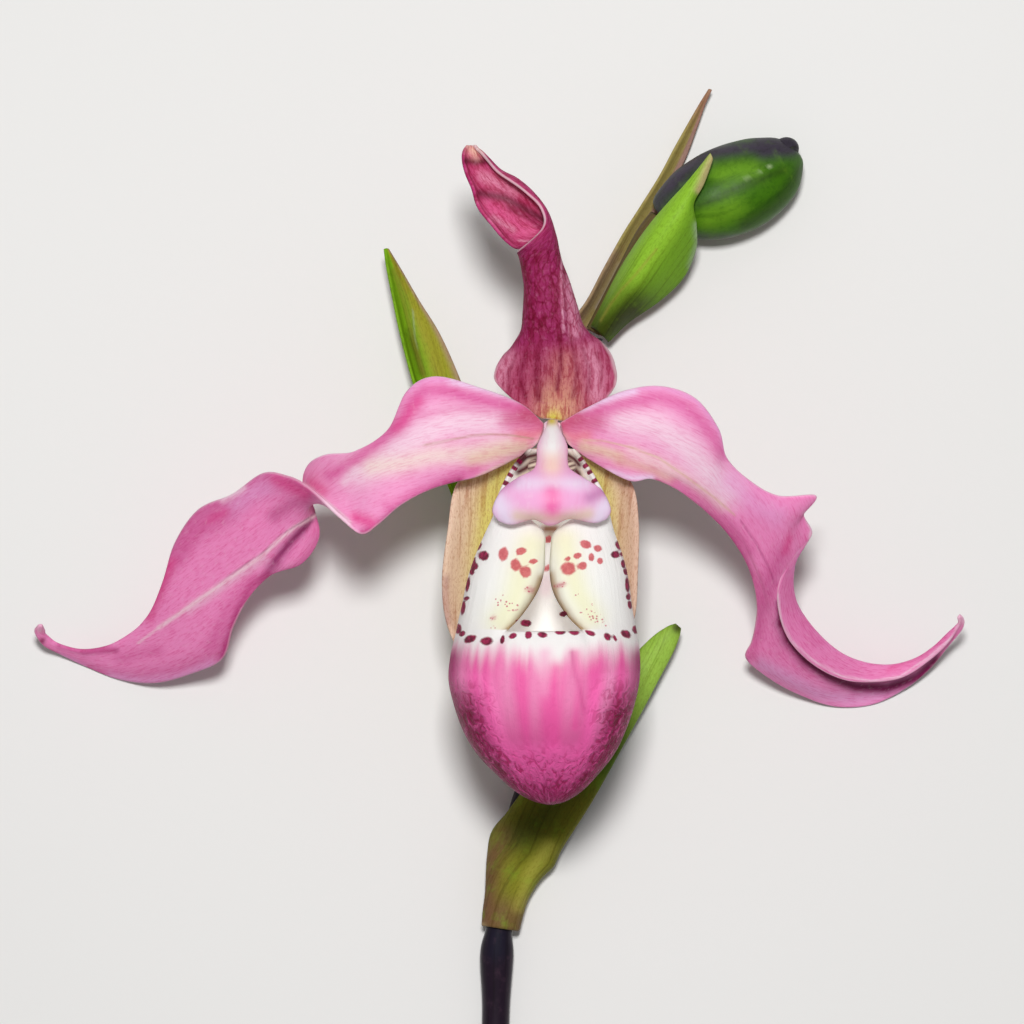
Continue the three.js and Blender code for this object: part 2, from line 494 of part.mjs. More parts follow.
function joined(geometries) {
  const whole = geometries.map(toManifold).reduce((sum, part) => sum.add(part));
  const mesh = whole.getMesh();
  const geometry = new THREE.BufferGeometry();
  geometry.setAttribute('position', new THREE.BufferAttribute(new Float32Array(mesh.vertProperties), 3));
  geometry.setIndex(new THREE.BufferAttribute(new Uint32Array(mesh.triVerts), 1));
  return geometry;
}

// ---------------------------------------------------------------- the pieces with their own rules

const LOBE_CELLS = 4;            // across each side lobe, from its inner edge to the pouch's side
const BACK_CELLS = 11;           // round the back, from side to side
const FRONT_CELLS = 4;           // across the front below the mouth

// One section of the lip as a closed ring of points, from the left lobe's inner edge round the
// back to the right lobe's and across the front.
function lipSection([y, left, right, sideZ, front, back, leftEdge, rightEdge, tuck]) {
  const middle = (left + right) / 2;
  const half = (right - left - LIP_THICKNESS) / 2;
  const edgeAngle = (x) => {
    const part = THREE.MathUtils.clamp((x - middle) / half, -0.999, 0.999);
    return Math.acos(Math.sign(part) * Math.abs(part) ** (LIP_ROUNDNESS / 2));
  };
  const fromLeft = edgeAngle(leftEdge);
  const toRight = 2 * Math.PI + edgeAngle(rightEdge);
  const angles = [];
  for (let j = 0; j < LOBE_CELLS; j += 1) {
    angles.push(fromLeft + (Math.PI - fromLeft) * j / LOBE_CELLS);
  }
  for (let j = 0; j < BACK_CELLS; j += 1) {
    angles.push(Math.PI * (1 + j / BACK_CELLS));
  }
  for (let j = 0; j < LOBE_CELLS; j += 1) {
    angles.push(2 * Math.PI + (toRight - 2 * Math.PI) * j / LOBE_CELLS);
  }
  for (let j = 0; j < FRONT_CELLS; j += 1) {
    angles.push(toRight + (2 * Math.PI + fromLeft - toRight) * j / FRONT_CELLS);
  }
  return angles.map((angle) => {
    const c = Math.cos(angle);
    const s = Math.sin(angle);
    const x = middle + half * Math.sign(c) * Math.abs(c) ** (2 / LIP_ROUNDNESS);
    const rise = Math.abs(s) ** (2 / LIP_ROUNDNESS);
    const nearest = Math.min(Math.abs(x - leftEdge), Math.abs(x - rightEdge));
    const dip = s > 0 ? tuck * Math.exp(-((nearest / LOBE_TUCK_WIDTH) ** 2)) : 0;
    return place([x, y, sideZ + (s > 0 ? front : -back) * rise - dip]);
  });
}

function lip() {
  const rowSteps = 2;
  const ring = 2 * LOBE_CELLS + BACK_CELLS + FRONT_CELLS;
  const rowCount = (LIP.length - 1) * rowSteps + 1;
  const points = [];
  for (let i = 0; i < rowCount; i += 1) {
    points.push(...lipSection(along(LIP, i / rowSteps)));
  }
  const rimRow = LIP_RIM_STATION * rowSteps;
  const mouth = (i, j) => i < rimRow && j >= ring - FRONT_CELLS;
  const faces = gridFaces(rowCount, ring, { closed: true, keep: (i, j) => !mouth(i, j) });
  const toe = points.slice(-ring).reduce((sum, p) => sum.add(p), new THREE.Vector3()).divideScalar(ring);
  toe.y -= 0.5;
  points.push(toe);
  const lastRow = (rowCount - 1) * ring;
  for (let j = 0; j < ring; j += 1) {
    faces.push([lastRow + j, lastRow + (j + 1) % ring, points.length - 1]);
  }
  return { points, faces };
}

function sheath() {
  const rowSteps = 2;
  const columnCount = 15;
  const mouthRow = SHEATH_MOUTH_STATION * rowSteps;
  const keep = (i, j) => i < mouthRow || j >= (columnCount - 1) / 2;
  return scroll(SHEATH_BRACT, rowSteps, columnCount, keep);
}

function column() {
  const acrossX = new THREE.Vector3(1, 0, 0);
  return joined([
    limb(COLUMN, 3, 12, acrossX),
    thicken(blade(STAMINODE, 7, 2, 2), STAMINODE_THICKNESS),
    ball(ANTHER_LEFT),
    ball(ANTHER_RIGHT),
    ball(STIGMA),
  ]);
}

// ---------------------------------------------------------------- the spray

const UP = new THREE.Vector3(0, 0, 1);
const ACROSS = new THREE.Vector3(1, 0, 0);

const spray = new THREE.Group();

function add(name, geometry, color, roughness) {
  const material = new THREE.MeshStandardMaterial({ color, roughness, metalness: 0 });
  const mesh = new THREE.Mesh(geometry, material);
  mesh.name = name;
  spray.add(mesh);
}

add('stem', limb(STEM, 2, 12, UP), '#3b2a35', 0.6);
add('sheath_bract', thicken(sheath(), BRACT_THICKNESS), '#8f8a3a', 0.6);
add('floral_bract', thicken(blade(FLORAL_BRACT, 5, 2, 1), BRACT_THICKNESS), '#9fa63a', 0.6);
add('end_bract', thicken(blade(END_BRACT, 5, 2, 1), BRACT_THICKNESS), '#8a7a58', 0.65);
add('bud_stalk', limb(BUD_STALK, 2, 10, UP), '#5c6a2c', 0.6);
add('bud_bract', thicken(blade(BUD_BRACT, 7, 2, 1), BRACT_THICKNESS), '#9cc045', 0.55);
add('bud', joined([limb(BUD, 2, 16, UP), ball(BUD_KNOB)]), '#7ba022', 0.5);
add('ovary', limb(OVARY, 2, 12, ACROSS), '#5a4638', 0.6);
add('dorsal_sepal', thicken(scroll(DORSAL_SEPAL, 2, 13), SEPAL_THICKNESS), '#a8436c', 0.5);
add('synsepal', thicken(blade(SYNSEPAL, 9, 2, 1), SEPAL_THICKNESS), '#d8b79a', 0.5);
add('petal_left', thicken(blade(PETAL_LEFT, 7, 2, 1), PETAL_THICKNESS), '#e27fb6', 0.45);
add('petal_right', thicken(blade(PETAL_RIGHT, 5, 2, 2), PETAL_THICKNESS), '#e27fb6', 0.45);
add('lip', thicken(lip(), LIP_THICKNESS), '#ee8fbf', 0.35);
add('column', column(), '#efc3e2', 0.35);

export default spray;
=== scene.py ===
"""A cut spray of a lady's-slipper orchid, dressed with fine petals, pouch, bracts and bud."""
import math

import bpy
import numpy as np
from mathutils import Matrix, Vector, kdtree


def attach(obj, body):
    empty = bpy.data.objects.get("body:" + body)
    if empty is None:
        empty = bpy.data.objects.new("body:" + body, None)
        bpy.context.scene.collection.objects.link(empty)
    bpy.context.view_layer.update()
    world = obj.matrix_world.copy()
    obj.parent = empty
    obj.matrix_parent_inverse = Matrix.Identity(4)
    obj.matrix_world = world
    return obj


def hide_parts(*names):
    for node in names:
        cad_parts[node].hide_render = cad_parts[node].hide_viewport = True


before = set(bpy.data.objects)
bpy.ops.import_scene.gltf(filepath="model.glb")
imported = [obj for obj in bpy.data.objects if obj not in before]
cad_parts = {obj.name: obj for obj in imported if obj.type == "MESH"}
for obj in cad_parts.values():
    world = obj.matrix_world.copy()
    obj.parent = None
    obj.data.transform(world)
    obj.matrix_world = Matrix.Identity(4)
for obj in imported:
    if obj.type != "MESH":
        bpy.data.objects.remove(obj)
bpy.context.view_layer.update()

# ------------------------------------------------------------------ driving dimensions, in mm

MM = 0.001
FLOWER_HEIGHT = 34.0             # the flower's centre above the surface
EYE_HEIGHT = 567.3               # the eye that the outlines are laid out for, straight above
EYE_X, EYE_Y = -5.0, -10.25      # the eye's foot, from the flower's centre
ORIGIN_X, ORIGIN_Y = -6.785, -32.235     # the frame's origin, from the flower's centre
VIEW_WIDTH = 128.0               # what the camera takes in at the flower's height
SENSOR = 36.0

PETAL_THICKNESS = 0.5
SEPAL_THICKNESS = 0.5
BRACT_THICKNESS = 0.45
LIP_THICKNESS = 0.6
SHIELD_THICKNESS = 0.9
RIM_ROUNDING = 0.7               # how far in from its margin a sheet is rounded, by its thickness
RIM_SHARE = 0.12                 # how much of the squared thickness is left at the margin
COLUMN_CLEARANCE = 0.8           # how far the column stays under the shield that covers it
ANTHER_STRIPE = 0.18             # the half width of the stripes on the anthers
GLOBE_RINGS = 17
GLOBE_SIDES = 24
CAP_TURN = 0.12                  # the angle that a ball leaves to the cap at each pole, in radians
LOBE_END_Y = -25.0               # where the lip's side lobes end
LIP_ROOT_Y = -8                  # where the lip's root goes over into its side lobes
BUD_BACK_Z = 3.0                 # what lies lower is the bud's plain green back

ROUND_GRAIN = 2.0                # the radius that a solid's round grain is laid out on
LIP_GRAIN = 9.5                  # the same for the lip
HANGING_WRINKLE = 0.22           # how wrinkled the petals' hanging ends are, from 0 to 1
VEIN_STRENGTH = 0.85             # how strongly the dorsal sepal's streaks are drawn
THROUGH_SHARE = 0.35             # how much of the trough's marks shows on its outside
DISC_EDGE_SHARPNESS = 0.45       # how fast the pale turns of the dorsal sepal's disc fade
WHITE_RIM_END = 26.0             # how far below the flower's centre the pouch's white rim ends
STREAK_SEED = 5
STREAK_CELLS = 3                 # over how many points the pouch's ragged fade is smoothed
PAINTED_GLOW = 0.38                      # painted glow on the lip's inside face, standing in for light let through its thin walls

HEADING_REACH = 0.25             # how far a curve's heading looks both ways, in stations
SHEATH_ROW_STEPS = 10
SHEATH_COLUMNS = 71
LIP_ROW_STEPS = 8
LOBE_CELLS = 36                  # the lip's cells over each side lobe,
BACK_CELLS = 56                  # round its back
FRONT_CELLS = 36                 # and across its front, between the lobes
RIM_LIFT_ROWS = 2                # how many of the lip's rows the front rim stands above its station
FAR = 9.0                        # a reach that is past every rim and every spot's edge

WORLD_STRENGTH = 0.24
KEY_WATTS = 2.75
KEY_SIZE = 0.07
KEY_PLACE = (0.0, 0.13, 0.56)    # in metres, as the next two
KEY_TARGET = (0.0, 0.02, 0.03)
FLOOR_REACH = 1.5

# ------------------------------------------------------------------ colours, as seen in white light, with some that are painted shade, shadow and highlights

WHITE = (252, 252, 250)
IVORY = (248, 248, 212)
CREAM = (240, 222, 196)
PEACH = (228, 186, 164)
TAN = (206, 180, 138)
BROWN = (150, 92, 58)
LAVENDER = (242, 214, 242)
BLUSH = (250, 216, 232)
HOT_PINK = (246, 92, 172)
ROSE = (205, 84, 116)
MAROON = (140, 34, 80)
WINE = (104, 4, 46)
YELLOW_GREEN = (206, 200, 92)
OLIVE = (130, 122, 44)
LIME = (128, 178, 40)
GREEN = (58, 104, 6)

PETAL = (243, 160, 206)
PETAL_VIVID = (252, 146, 204)
PETAL_PALE = (247, 218, 233)
PETAL_RIM = (250, 224, 236)
PETAL_BAND = (224, 106, 168)
PETAL_HOT = (230, 78, 150)
PETAL_DARK = (184, 54, 122)
PETAL_VEIN = (236, 160, 200)
PETAL_FLAP = (244, 140, 196)
LILAC_PINK = (238, 166, 216)
ROOT_DARK = (199, 88, 124)
CORAL = (232, 126, 130)
ROOT_WHITE = (252, 232, 230)
CREAM_PINK = (244, 221, 216)
CREAM_TAN = (233, 203, 180)
PEACH_PINK = (229, 178, 168)
STRAW_PINK = (228, 207, 186)
VEIN_OLIVE = (198, 158, 140)
VEIN_CREAM = (222, 190, 160)
RIB_AND_HIGHLIGHT = (250, 214, 226)
RIB_GROOVE_SHADE = (150, 48, 106)
UNDER_FLAP_WINE_AND_SHADOW = (120, 18, 76)
TIP_PINK = (232, 182, 202)

NECK = (156, 44, 98)
BASE_PINK = (180, 80, 114)
LEAF_YELLOW = (206, 197, 72)
TAN_YELLOW = (214, 176, 128)
TAN_PINK = (206, 134, 124)
PALE_ROSE = (230, 164, 188)
PALE_RIM = (246, 224, 230)
OVERLAP_PALE = (238, 188, 208)
DORSAL_VEIN = (206, 112, 152)
DORSAL_DARK = (136, 26, 66)
VIVID_MAGENTA = (186, 52, 118)
TROUGH_ROSE = (200, 76, 124)
HOT_ROSE = (222, 98, 148)
TROUGH_GROOVE_SHADE = (112, 48, 66)
TIP_CREAM = (232, 190, 168)

SEPAL_CREAM = (230, 208, 164)
SEPAL_YELLOW = (222, 214, 118)
SEPAL_TAN = (228, 200, 178)
SEPAL_PINK = (216, 180, 166)
SEPAL_VEIN = (204, 160, 136)
SEPAL_EDGE = (176, 130, 126)
SHADE_OLIVE = (176, 158, 88)

LOBE_EDGE = (184, 152, 104)
STRIPE_BROWN = (84, 30, 40)
POUCH_PINK = (240, 108, 176)
POUCH_PALE = (248, 168, 208)
POUCH_MAUVE = (212, 68, 144)
POUCH_EDGE = (168, 30, 108)
# painted shade for the pouch's crease hollows, then a painted highlight for its crests
CREASE_SHADE = (196, 104, 150)
CREASE_HIGHLIGHT = (232, 96, 164)
DARK_POUCH_AND_SHADE = (138, 4, 74)
YELLOW_CREAM = (240, 226, 190)
WINE_PALE = (168, 20, 80)
ROSE_SPOT = (206, 82, 92)
ROSE_SPOT_PALE = (218, 106, 112)
FAINT_SPOT = (206, 104, 122)

SHIELD_YELLOW = (226, 216, 84)
SHIELD_PEACH = (250, 216, 201)
SHIELD_PINK = (244, 178, 222)
SHIELD_SHADE = (202, 134, 184)
SHIELD_BEIGE = (230, 206, 186)
SHIELD_LIGHT = (240, 228, 248)
SHIELD_HOT = (240, 104, 172)

BRACT_GREEN = (122, 172, 26)
BRACT_YELLOW = (160, 158, 46)
BRACT_SHADE = (78, 98, 10)
MAUVE_EDGE = (176, 136, 132)
OLIVE_TAN = (164, 150, 86)
MAUVE_GREY = (156, 122, 112)
MAUVE_PALE = (186, 170, 178)
STALK_BROWN = (104, 88, 56)
PINK_BROWN = (172, 122, 104)
LEAF_VEIN = (176, 168, 116)
MAUVE_VEIN = (190, 160, 140)
BRACT_LIME = (146, 196, 54)
DEEP_LIME = (98, 148, 26)
DARK_OLIVE = (54, 60, 16)
KEEL_TAN = (160, 150, 62)
GREY_GREEN = (170, 190, 160)
DEEP_GREEN = (150, 170, 90)
BUD_DARK = (40, 66, 10)
BUD_SLATE = (60, 50, 68)
BUD_KNOB_DARK = (52, 46, 58)
BUD_HIGHLIGHT = (196, 208, 168)
SHEATH_GREEN = (128, 128, 32)
SHEATH_MAUVE = (120, 84, 62)
SHEATH_SHADE = (66, 76, 18)
SHEATH_INSIDE = (52, 58, 24)
LEAF_LIME = (160, 200, 80)
BLADE_GREEN_AND_SHADOW = (76, 112, 26)
STEM_DARK = (28, 14, 30)
STEM_BAND = (20, 18, 36)
STEM_VEIN = (150, 116, 140)
STEM_PALE = (84, 58, 74)
CUT_FACE = (150, 134, 116)
PAPER_DARK = (226, 225, 223)
PAPER_LIGHT = (231, 230, 228)

# ------------------------------------------------------------------ outlines
# Every outline point is [x, y, z] from the flower's centre, with x and y as the eye sees them
# at the flower's height, and z above the surface.

PETAL_LEFT = [
    [[-1.0, 0.8, 32.9], [-1.3, -0.5, 32.9], [-1.9, -1.7, 32.8]],
    [[-3.9, 3.3, 33.9], [-4.2, -0.8, 34.2], [-4.5, -3.5, 33.2]],
    [[-9.0, 5.3, 36.0], [-9.0, -0.9, 35.8], [-9.0, -5.7, 34.4]],
    [[-14.6, 6.7, 37.2], [-13.4, -1.5, 37.0], [-12.6, -6.6, 35.2]],
    [[-18.1, 4.9, 36.4], [-17.0, -2.4, 36.8], [-15.6, -7.6, 35.6]],
    [[-20.4, 0.1, 35.0], [-20.2, -3.4, 35.8], [-18.9, -9.4, 36.0]],
    [[-24.4, -2.6, 33.2], [-23.4, -4.6, 34.2], [-21.6, -11.7, 36.4]],
    [[-28.4, -3.1, 30.6], [-26.4, -6.1, 32.2], [-23.8, -13.0, 36.2]],
    [[-30.5, -4.4, 27.8], [-28.5, -7.6, 30.6], [-26.2, -11.1, 35.6]],
    [[-31.0, -6.8, 25.4], [-29.9, -8.8, 29.0], [-28.7, -8.6, 34.2]],
    [[-29.7, -10.2, 23.6], [-30.9, -10.2, 27.3], [-31.0, -6.7, 32.0]],
    [[-29.1, -13.4, 22.6], [-32.4, -12.0, 25.4], [-33.2, -5.7, 29.4]],
    [[-31.2, -16.6, 21.2], [-34.6, -14.2, 23.2], [-36.2, -5.4, 26.4]],
    [[-35.0, -17.8, 19.6], [-37.3, -16.5, 20.6], [-40.0, -8.0, 23.0]],
    [[-37.9, -21.0, 17.6], [-40.5, -18.9, 17.6], [-44.2, -9.9, 19.4]],
    [[-39.8, -24.6, 15.0], [-43.5, -21.1, 14.6], [-47.1, -14.0, 15.8]],
    [[-41.2, -28.6, 11.6], [-46.4, -23.2, 11.6], [-48.6, -18.8, 12.4]],
    [[-45.2, -30.5, 7.2], [-49.2, -25.0, 8.6], [-50.2, -22.9, 8.6]],
    [[-49.6, -31.6, 3.2], [-52.1, -26.2, 6.0], [-52.4, -26.2, 4.4]],
    [[-54.2, -31.1, 0.62], [-55.2, -27.4, 3.6], [-55.4, -27.9, 1.9]],
    [[-58.2, -29.5, 0.42], [-58.6, -27.7, 2.6], [-58.7, -28.2, 1.4]],
    [[-61.4, -28.0, 1.8], [-61.5, -27.0, 3.2], [-61.6, -27.3, 2.2]],
    [[-63.6, -26.9, 4.2], [-63.3, -26.0, 4.8], [-63.2, -25.8, 4.0]],
    [[-64.7, -25.2, 6.4], [-64.1, -25.1, 6.4], [-63.4, -24.9, 6.2]],
    [[-64.2, -24.4, 7.6], [-64.0, -24.35, 7.6], [-63.7, -24.4, 7.6]],
]

PETAL_RIGHT = [
    [[1.0, 0.9, 32.9], [1.2, 0.2, 33.0], [1.4, -0.5, 33.0], [1.7, -1.1, 32.9], [2.0, -1.7, 32.8]],
    [[4.4, 2.8, 33.9], [4.5, 1.0, 34.3], [4.5, -1.2, 34.2], [4.5, -2.5, 33.8], [4.6, -3.6, 33.2]],
    [[9.0, 4.9, 36.0], [9.1, 1.6, 36.4], [9.3, -2.4, 35.6], [9.4, -4.6, 34.9], [9.6, -6.3, 34.2]],
    [[13.6, 5.5, 37.0], [13.2, 1.2, 37.0], [12.8, -3.4, 35.6], [12.6, -5.0, 34.9], [12.4, -6.1, 34.3]],
    [[17.9, 4.0, 36.6], [17.0, 0.0, 36.6], [16.1, -4.9, 35.0], [15.7, -6.2, 34.2], [15.4, -7.3, 33.4]],
    [[20.8, 0.2, 35.2], [19.8, -3.0, 35.0], [18.8, -6.6, 33.6], [18.3, -7.9, 32.7], [17.8, -9.0, 31.8]],
    [[21.8, -3.4, 33.4], [21.1, -5.8, 33.2], [20.6, -8.4, 32.0], [20.1, -9.7, 31.0], [19.6, -10.5, 30.0]],
    [[24.6, -6.2, 31.2], [23.6, -8.3, 31.2], [22.6, -10.7, 30.0], [22.1, -11.8, 28.9], [21.6, -12.5, 27.9]],
    [[28.3, -8.2, 29.0], [26.3, -10.3, 29.0], [24.4, -13.1, 27.4], [23.9, -14.1, 26.2], [23.4, -15.0, 25.0]],
    [[33.0, -8.2, 27.4], [28.9, -11.6, 27.0], [25.8, -15.6, 24.8], [25.1, -16.5, 23.5], [24.6, -17.3, 22.2]],
    [[31.4, -10.3, 25.4], [29.8, -13.2, 24.8], [26.9, -18.0, 22.2], [26.0, -18.8, 21.0], [25.3, -19.6, 19.8]],
    [[32.5, -12.9, 23.2], [30.4, -15.4, 22.2], [27.6, -20.2, 19.4], [26.6, -21.1, 18.2], [25.6, -22.1, 16.8]],
    [[30.4, -15.3, 22.2], [30.0, -17.6, 19.8], [28.1, -22.1, 17.0], [26.7, -23.1, 15.4], [25.4, -24.3, 13.8]],
    [[28.4, -18.8, 20.6], [30.1, -20.4, 17.2], [28.7, -24.0, 14.4], [26.9, -25.4, 12.8], [24.9, -26.5, 11.0]],
    [[28.3, -22.4, 17.4], [31.1, -22.9, 14.4], [29.8, -26.0, 11.8], [27.0, -28.0, 10.2], [24.2, -28.4, 8.6]],
    [[29.6, -26.2, 14.0], [33.4, -25.8, 11.6], [31.8, -28.3, 9.0], [29.2, -30.4, 7.4], [26.6, -30.6, 6.0]],
    [[32.6, -29.3, 10.8], [36.2, -28.1, 8.8], [34.6, -30.2, 6.2], [32.2, -32.1, 4.6], [30.4, -32.8, 3.2]],
    [[36.4, -31.2, 8.2], [39.4, -29.3, 6.6], [38.0, -31.0, 3.9], [36.4, -33.1, 1.8], [35.2, -34.5, 0.8]],
    [[40.2, -31.5, 6.8], [42.6, -29.5, 5.6], [41.4, -31.0, 2.9], [40.6, -32.7, 1.2], [40.0, -34.3, 0.42]],
    [[43.8, -30.9, 6.6], [45.5, -28.7, 5.8], [44.8, -30.0, 3.4], [44.4, -31.2, 1.9], [44.2, -32.3, 1.3]],
    [[46.8, -29.0, 7.2], [47.7, -27.3, 6.7], [47.4, -28.2, 4.8], [47.3, -29.0, 3.6], [47.2, -29.9, 3.0]],
    [[49.3, -26.8, 8.4], [49.5, -25.6, 8.2], [49.6, -26.2, 7.0], [49.6, -26.7, 6.2], [49.5, -27.1, 5.8]],
    [[50.7, -24.6, 9.8], [50.9, -24.2, 9.9], [51.1, -24.3, 9.5], [51.3, -24.5, 9.2], [51.4, -24.7, 9.0]],
    [[50.7, -23.4, 10.8], [50.9, -23.2, 10.8], [51.0, -23.1, 10.8], [51.2, -23.3, 10.7], [51.3, -23.5, 10.6]],
]

SYNSEPAL = [
    [[-1.5, -2.3, 32.0], [0.0, -2.3, 31.8], [1.5, -2.3, 32.0]],
    [[-8.0, -3.6, 30.8], [-0.1, -4.6, 29.0], [7.0, -3.6, 30.8]],
    [[-11.9, -6.8, 30.2], [-0.6, -8.0, 26.0], [10.0, -6.8, 30.2]],
    [[-13.0, -12.5, 29.6], [-1.0, -13.0, 23.6], [10.8, -11.4, 29.6]],
    [[-13.7, -19.0, 28.4], [-1.4, -19.0, 21.4], [10.7, -17.6, 28.2]],
    [[-13.0, -24.6, 26.6], [-1.6, -25.0, 20.0], [10.2, -23.8, 26.4]],
    [[-10.2, -29.8, 24.4], [-1.6, -30.4, 19.6], [7.6, -29.2, 24.2]],
    [[-6.0, -33.6, 22.4], [-1.6, -34.2, 19.8], [3.2, -33.2, 22.2]],
    [[-2.3, -36.1, 20.8], [-1.6, -36.4, 20.6], [-0.8, -36.1, 20.8]],
]

FLORAL_BRACT = [
    [[-0.9, -31.0, 6.9], [-1.9, -30.6, 4.6], [-1.3, -30.4, 2.4]],
    [[-5.2, -24.0, 7.6], [-4.4, -24.2, 4.0], [-2.2, -24.8, 2.0]],
    [[-9.4, -15.6, 8.1], [-7.8, -16.0, 3.8], [-4.2, -16.6, 2.6]],
    [[-13.0, -6.6, 8.3], [-11.0, -7.4, 4.0], [-6.6, -8.4, 3.4]],
    [[-15.8, 1.2, 8.2], [-13.8, 0.4, 4.4], [-9.2, -0.6, 4.2]],
    [[-17.4, 6.4, 7.9], [-15.8, 5.8, 4.8], [-11.2, 5.6, 4.8]],
    [[-18.9, 12.0, 7.6], [-17.4, 11.4, 5.4], [-13.9, 11.8, 5.4]],
    [[-19.9, 16.6, 7.6], [-18.7, 16.2, 6.0], [-16.6, 16.2, 6.0]],
    [[-20.6, 20.2, 7.8], [-19.9, 19.9, 6.8], [-18.8, 20.0, 6.8]],
    [[-21.0, 22.6, 8.2], [-20.7, 22.7, 8.0], [-20.4, 22.6, 8.0]],
]

END_BRACT = [
    [[2.3, 13.4, 3.6], [3.9, 12.8, 0.9], [5.9, 11.8, 1.0]],
    [[4.4, 16.2, 3.6], [5.8, 15.6, 1.1], [7.4, 15.0, 1.6]],
    [[6.5, 20.2, 3.4], [7.9, 19.6, 1.2], [9.2, 19.0, 1.5]],
    [[8.9, 24.5, 3.0], [10.2, 23.9, 1.2], [11.2, 23.4, 1.4]],
    [[11.0, 27.8, 2.8], [12.2, 27.4, 1.2], [13.1, 26.9, 1.3]],
    [[13.5, 31.8, 2.6], [14.5, 31.4, 1.3], [15.3, 31.1, 1.4]],
    [[15.3, 35.2, 2.6], [16.2, 34.8, 1.5], [16.9, 34.4, 1.6]],
    [[17.0, 38.2, 2.7], [17.6, 37.9, 1.9], [18.1, 37.7, 2.0]],
    [[18.5, 40.8, 2.9], [18.8, 40.6, 2.5], [19.1, 40.5, 2.5]],
    [[19.6, 42.6, 3.2], [19.8, 42.6, 3.1], [20.0, 42.5, 3.1]],
]

BUD_BRACT = [
    [[4.9, 12.9, 4.6], [5.9, 12.2, 6.9], [7.0, 11.0, 4.6]],
    [[6.4, 15.8, 5.2], [7.7, 15.1, 9.0], [9.6, 13.5, 4.8]],
    [[8.4, 19.8, 6.2], [10.4, 18.7, 11.2], [13.4, 16.1, 5.6]],
    [[10.4, 23.0, 8.0], [12.8, 22.4, 12.4], [16.4, 19.0, 6.6]],
    [[12.4, 25.8, 10.0], [14.8, 25.2, 13.2], [18.0, 22.6, 8.6]],
    [[14.6, 28.4, 11.6], [16.2, 27.5, 13.5], [18.0, 25.6, 11.2]],
    [[16.6, 30.6, 12.3], [17.2, 29.4, 13.4], [17.6, 28.2, 12.3]],
    [[18.6, 33.0, 12.4], [18.7, 31.9, 13.0], [18.9, 30.7, 12.4]],
    [[19.8, 34.6, 12.2], [19.95, 34.3, 12.3], [20.1, 33.9, 12.2]],
]

# A scroll's station is [x, y, z, half width, half depth, start, end], the roll in degrees.
DORSAL_SEPAL = [
    [0.0, 1.3, 31.7, 1.3, 0.3, 10, 170],
    [0.25, 3.4, 31.2, 5.2, 0.9, 12, 168],
    [0.42, 5.8, 31.6, 7.6, 1.5, 12, 168],
    [0.42, 8.0, 32.2, 7.3, 2.1, 2, 178],
    [0.3, 9.8, 32.8, 6.25, 2.5, -6, 186],
    [0.15, 11.2, 33.2, 4.8, 2.6, -22, 202],
    [0.0, 12.8, 33.6, 3.7, 2.6, -44, 224],
    [-0.25, 15.2, 34.0, 3.2, 2.6, -60, 238],
    [-0.65, 18.0, 34.4, 2.7, 2.5, -70, 246],
    [-1.2, 20.2, 34.8, 2.4, 2.4, -80, 240],
    [-1.6, 22.0, 35.3, 2.35, 2.3, -100, 216],
    [-1.95, 23.2, 35.7, 2.5, 2.3, -128, 184],
    [-2.55, 24.3, 36.1, 2.85, 2.4, -162, 62],
    [-3.6, 26.0, 36.5, 3.15, 2.5, -184, 28],
    [-5.1, 27.8, 36.7, 3.15, 2.4, -190, 34],
    [-6.9, 29.6, 36.5, 2.85, 2.2, -192, 38],
    [-8.2, 31.3, 35.9, 2.0, 1.8, -194, 34],
    [-9.3, 33.0, 35.1, 1.6, 1.4, -196, 30],
    [-10.0, 34.5, 34.4, 1.1, 0.9, -198, 24],
    [-10.1, 35.6, 33.8, 0.4, 0.35, -198, 20],
]

SHEATH_BRACT = [
    [-6.5, -62.3, 3.2, 2.25, 2.45, -164, 168],
    [-6.2, -60.4, 3.2, 2.4, 2.5, -164, 168],
    [-5.75, -58.2, 3.2, 2.6, 2.6, -166, 168],
    [-5.2, -56.1, 3.2, 3.1, 2.7, -168, 170],
    [-4.55, -54.2, 3.25, 3.7, 2.75, -172, 172],
    [-3.65, -52.3, 3.5, 4.3, 2.8, -176, 176],
    [-2.3, -50.2, 4.3, 4.0, 2.4, -180, 176],
    [-0.7, -47.9, 5.2, 3.9, 1.9, -180, 180],
    [1.6, -44.6, 5.8, 3.75, 1.5, -180, 180],
    [4.0, -41.2, 5.6, 3.35, 1.4, -180, 180],
    [6.7, -37.2, 5.2, 2.9, 1.3, -180, 180],
    [9.4, -33.2, 4.9, 2.45, 1.2, -180, 180],
    [11.8, -29.6, 4.8, 2.0, 1.0, -180, 180],
    [13.8, -26.9, 4.9, 1.5, 0.8, -180, 180],
    [15.1, -25.3, 5.0, 0.9, 0.5, -180, 180],
    [15.8, -24.5, 5.1, 0.35, 0.2, -180, 180],
]
SHEATH_MOUTH_STATION = 5         # the tube's mouth, above which only the front half goes on

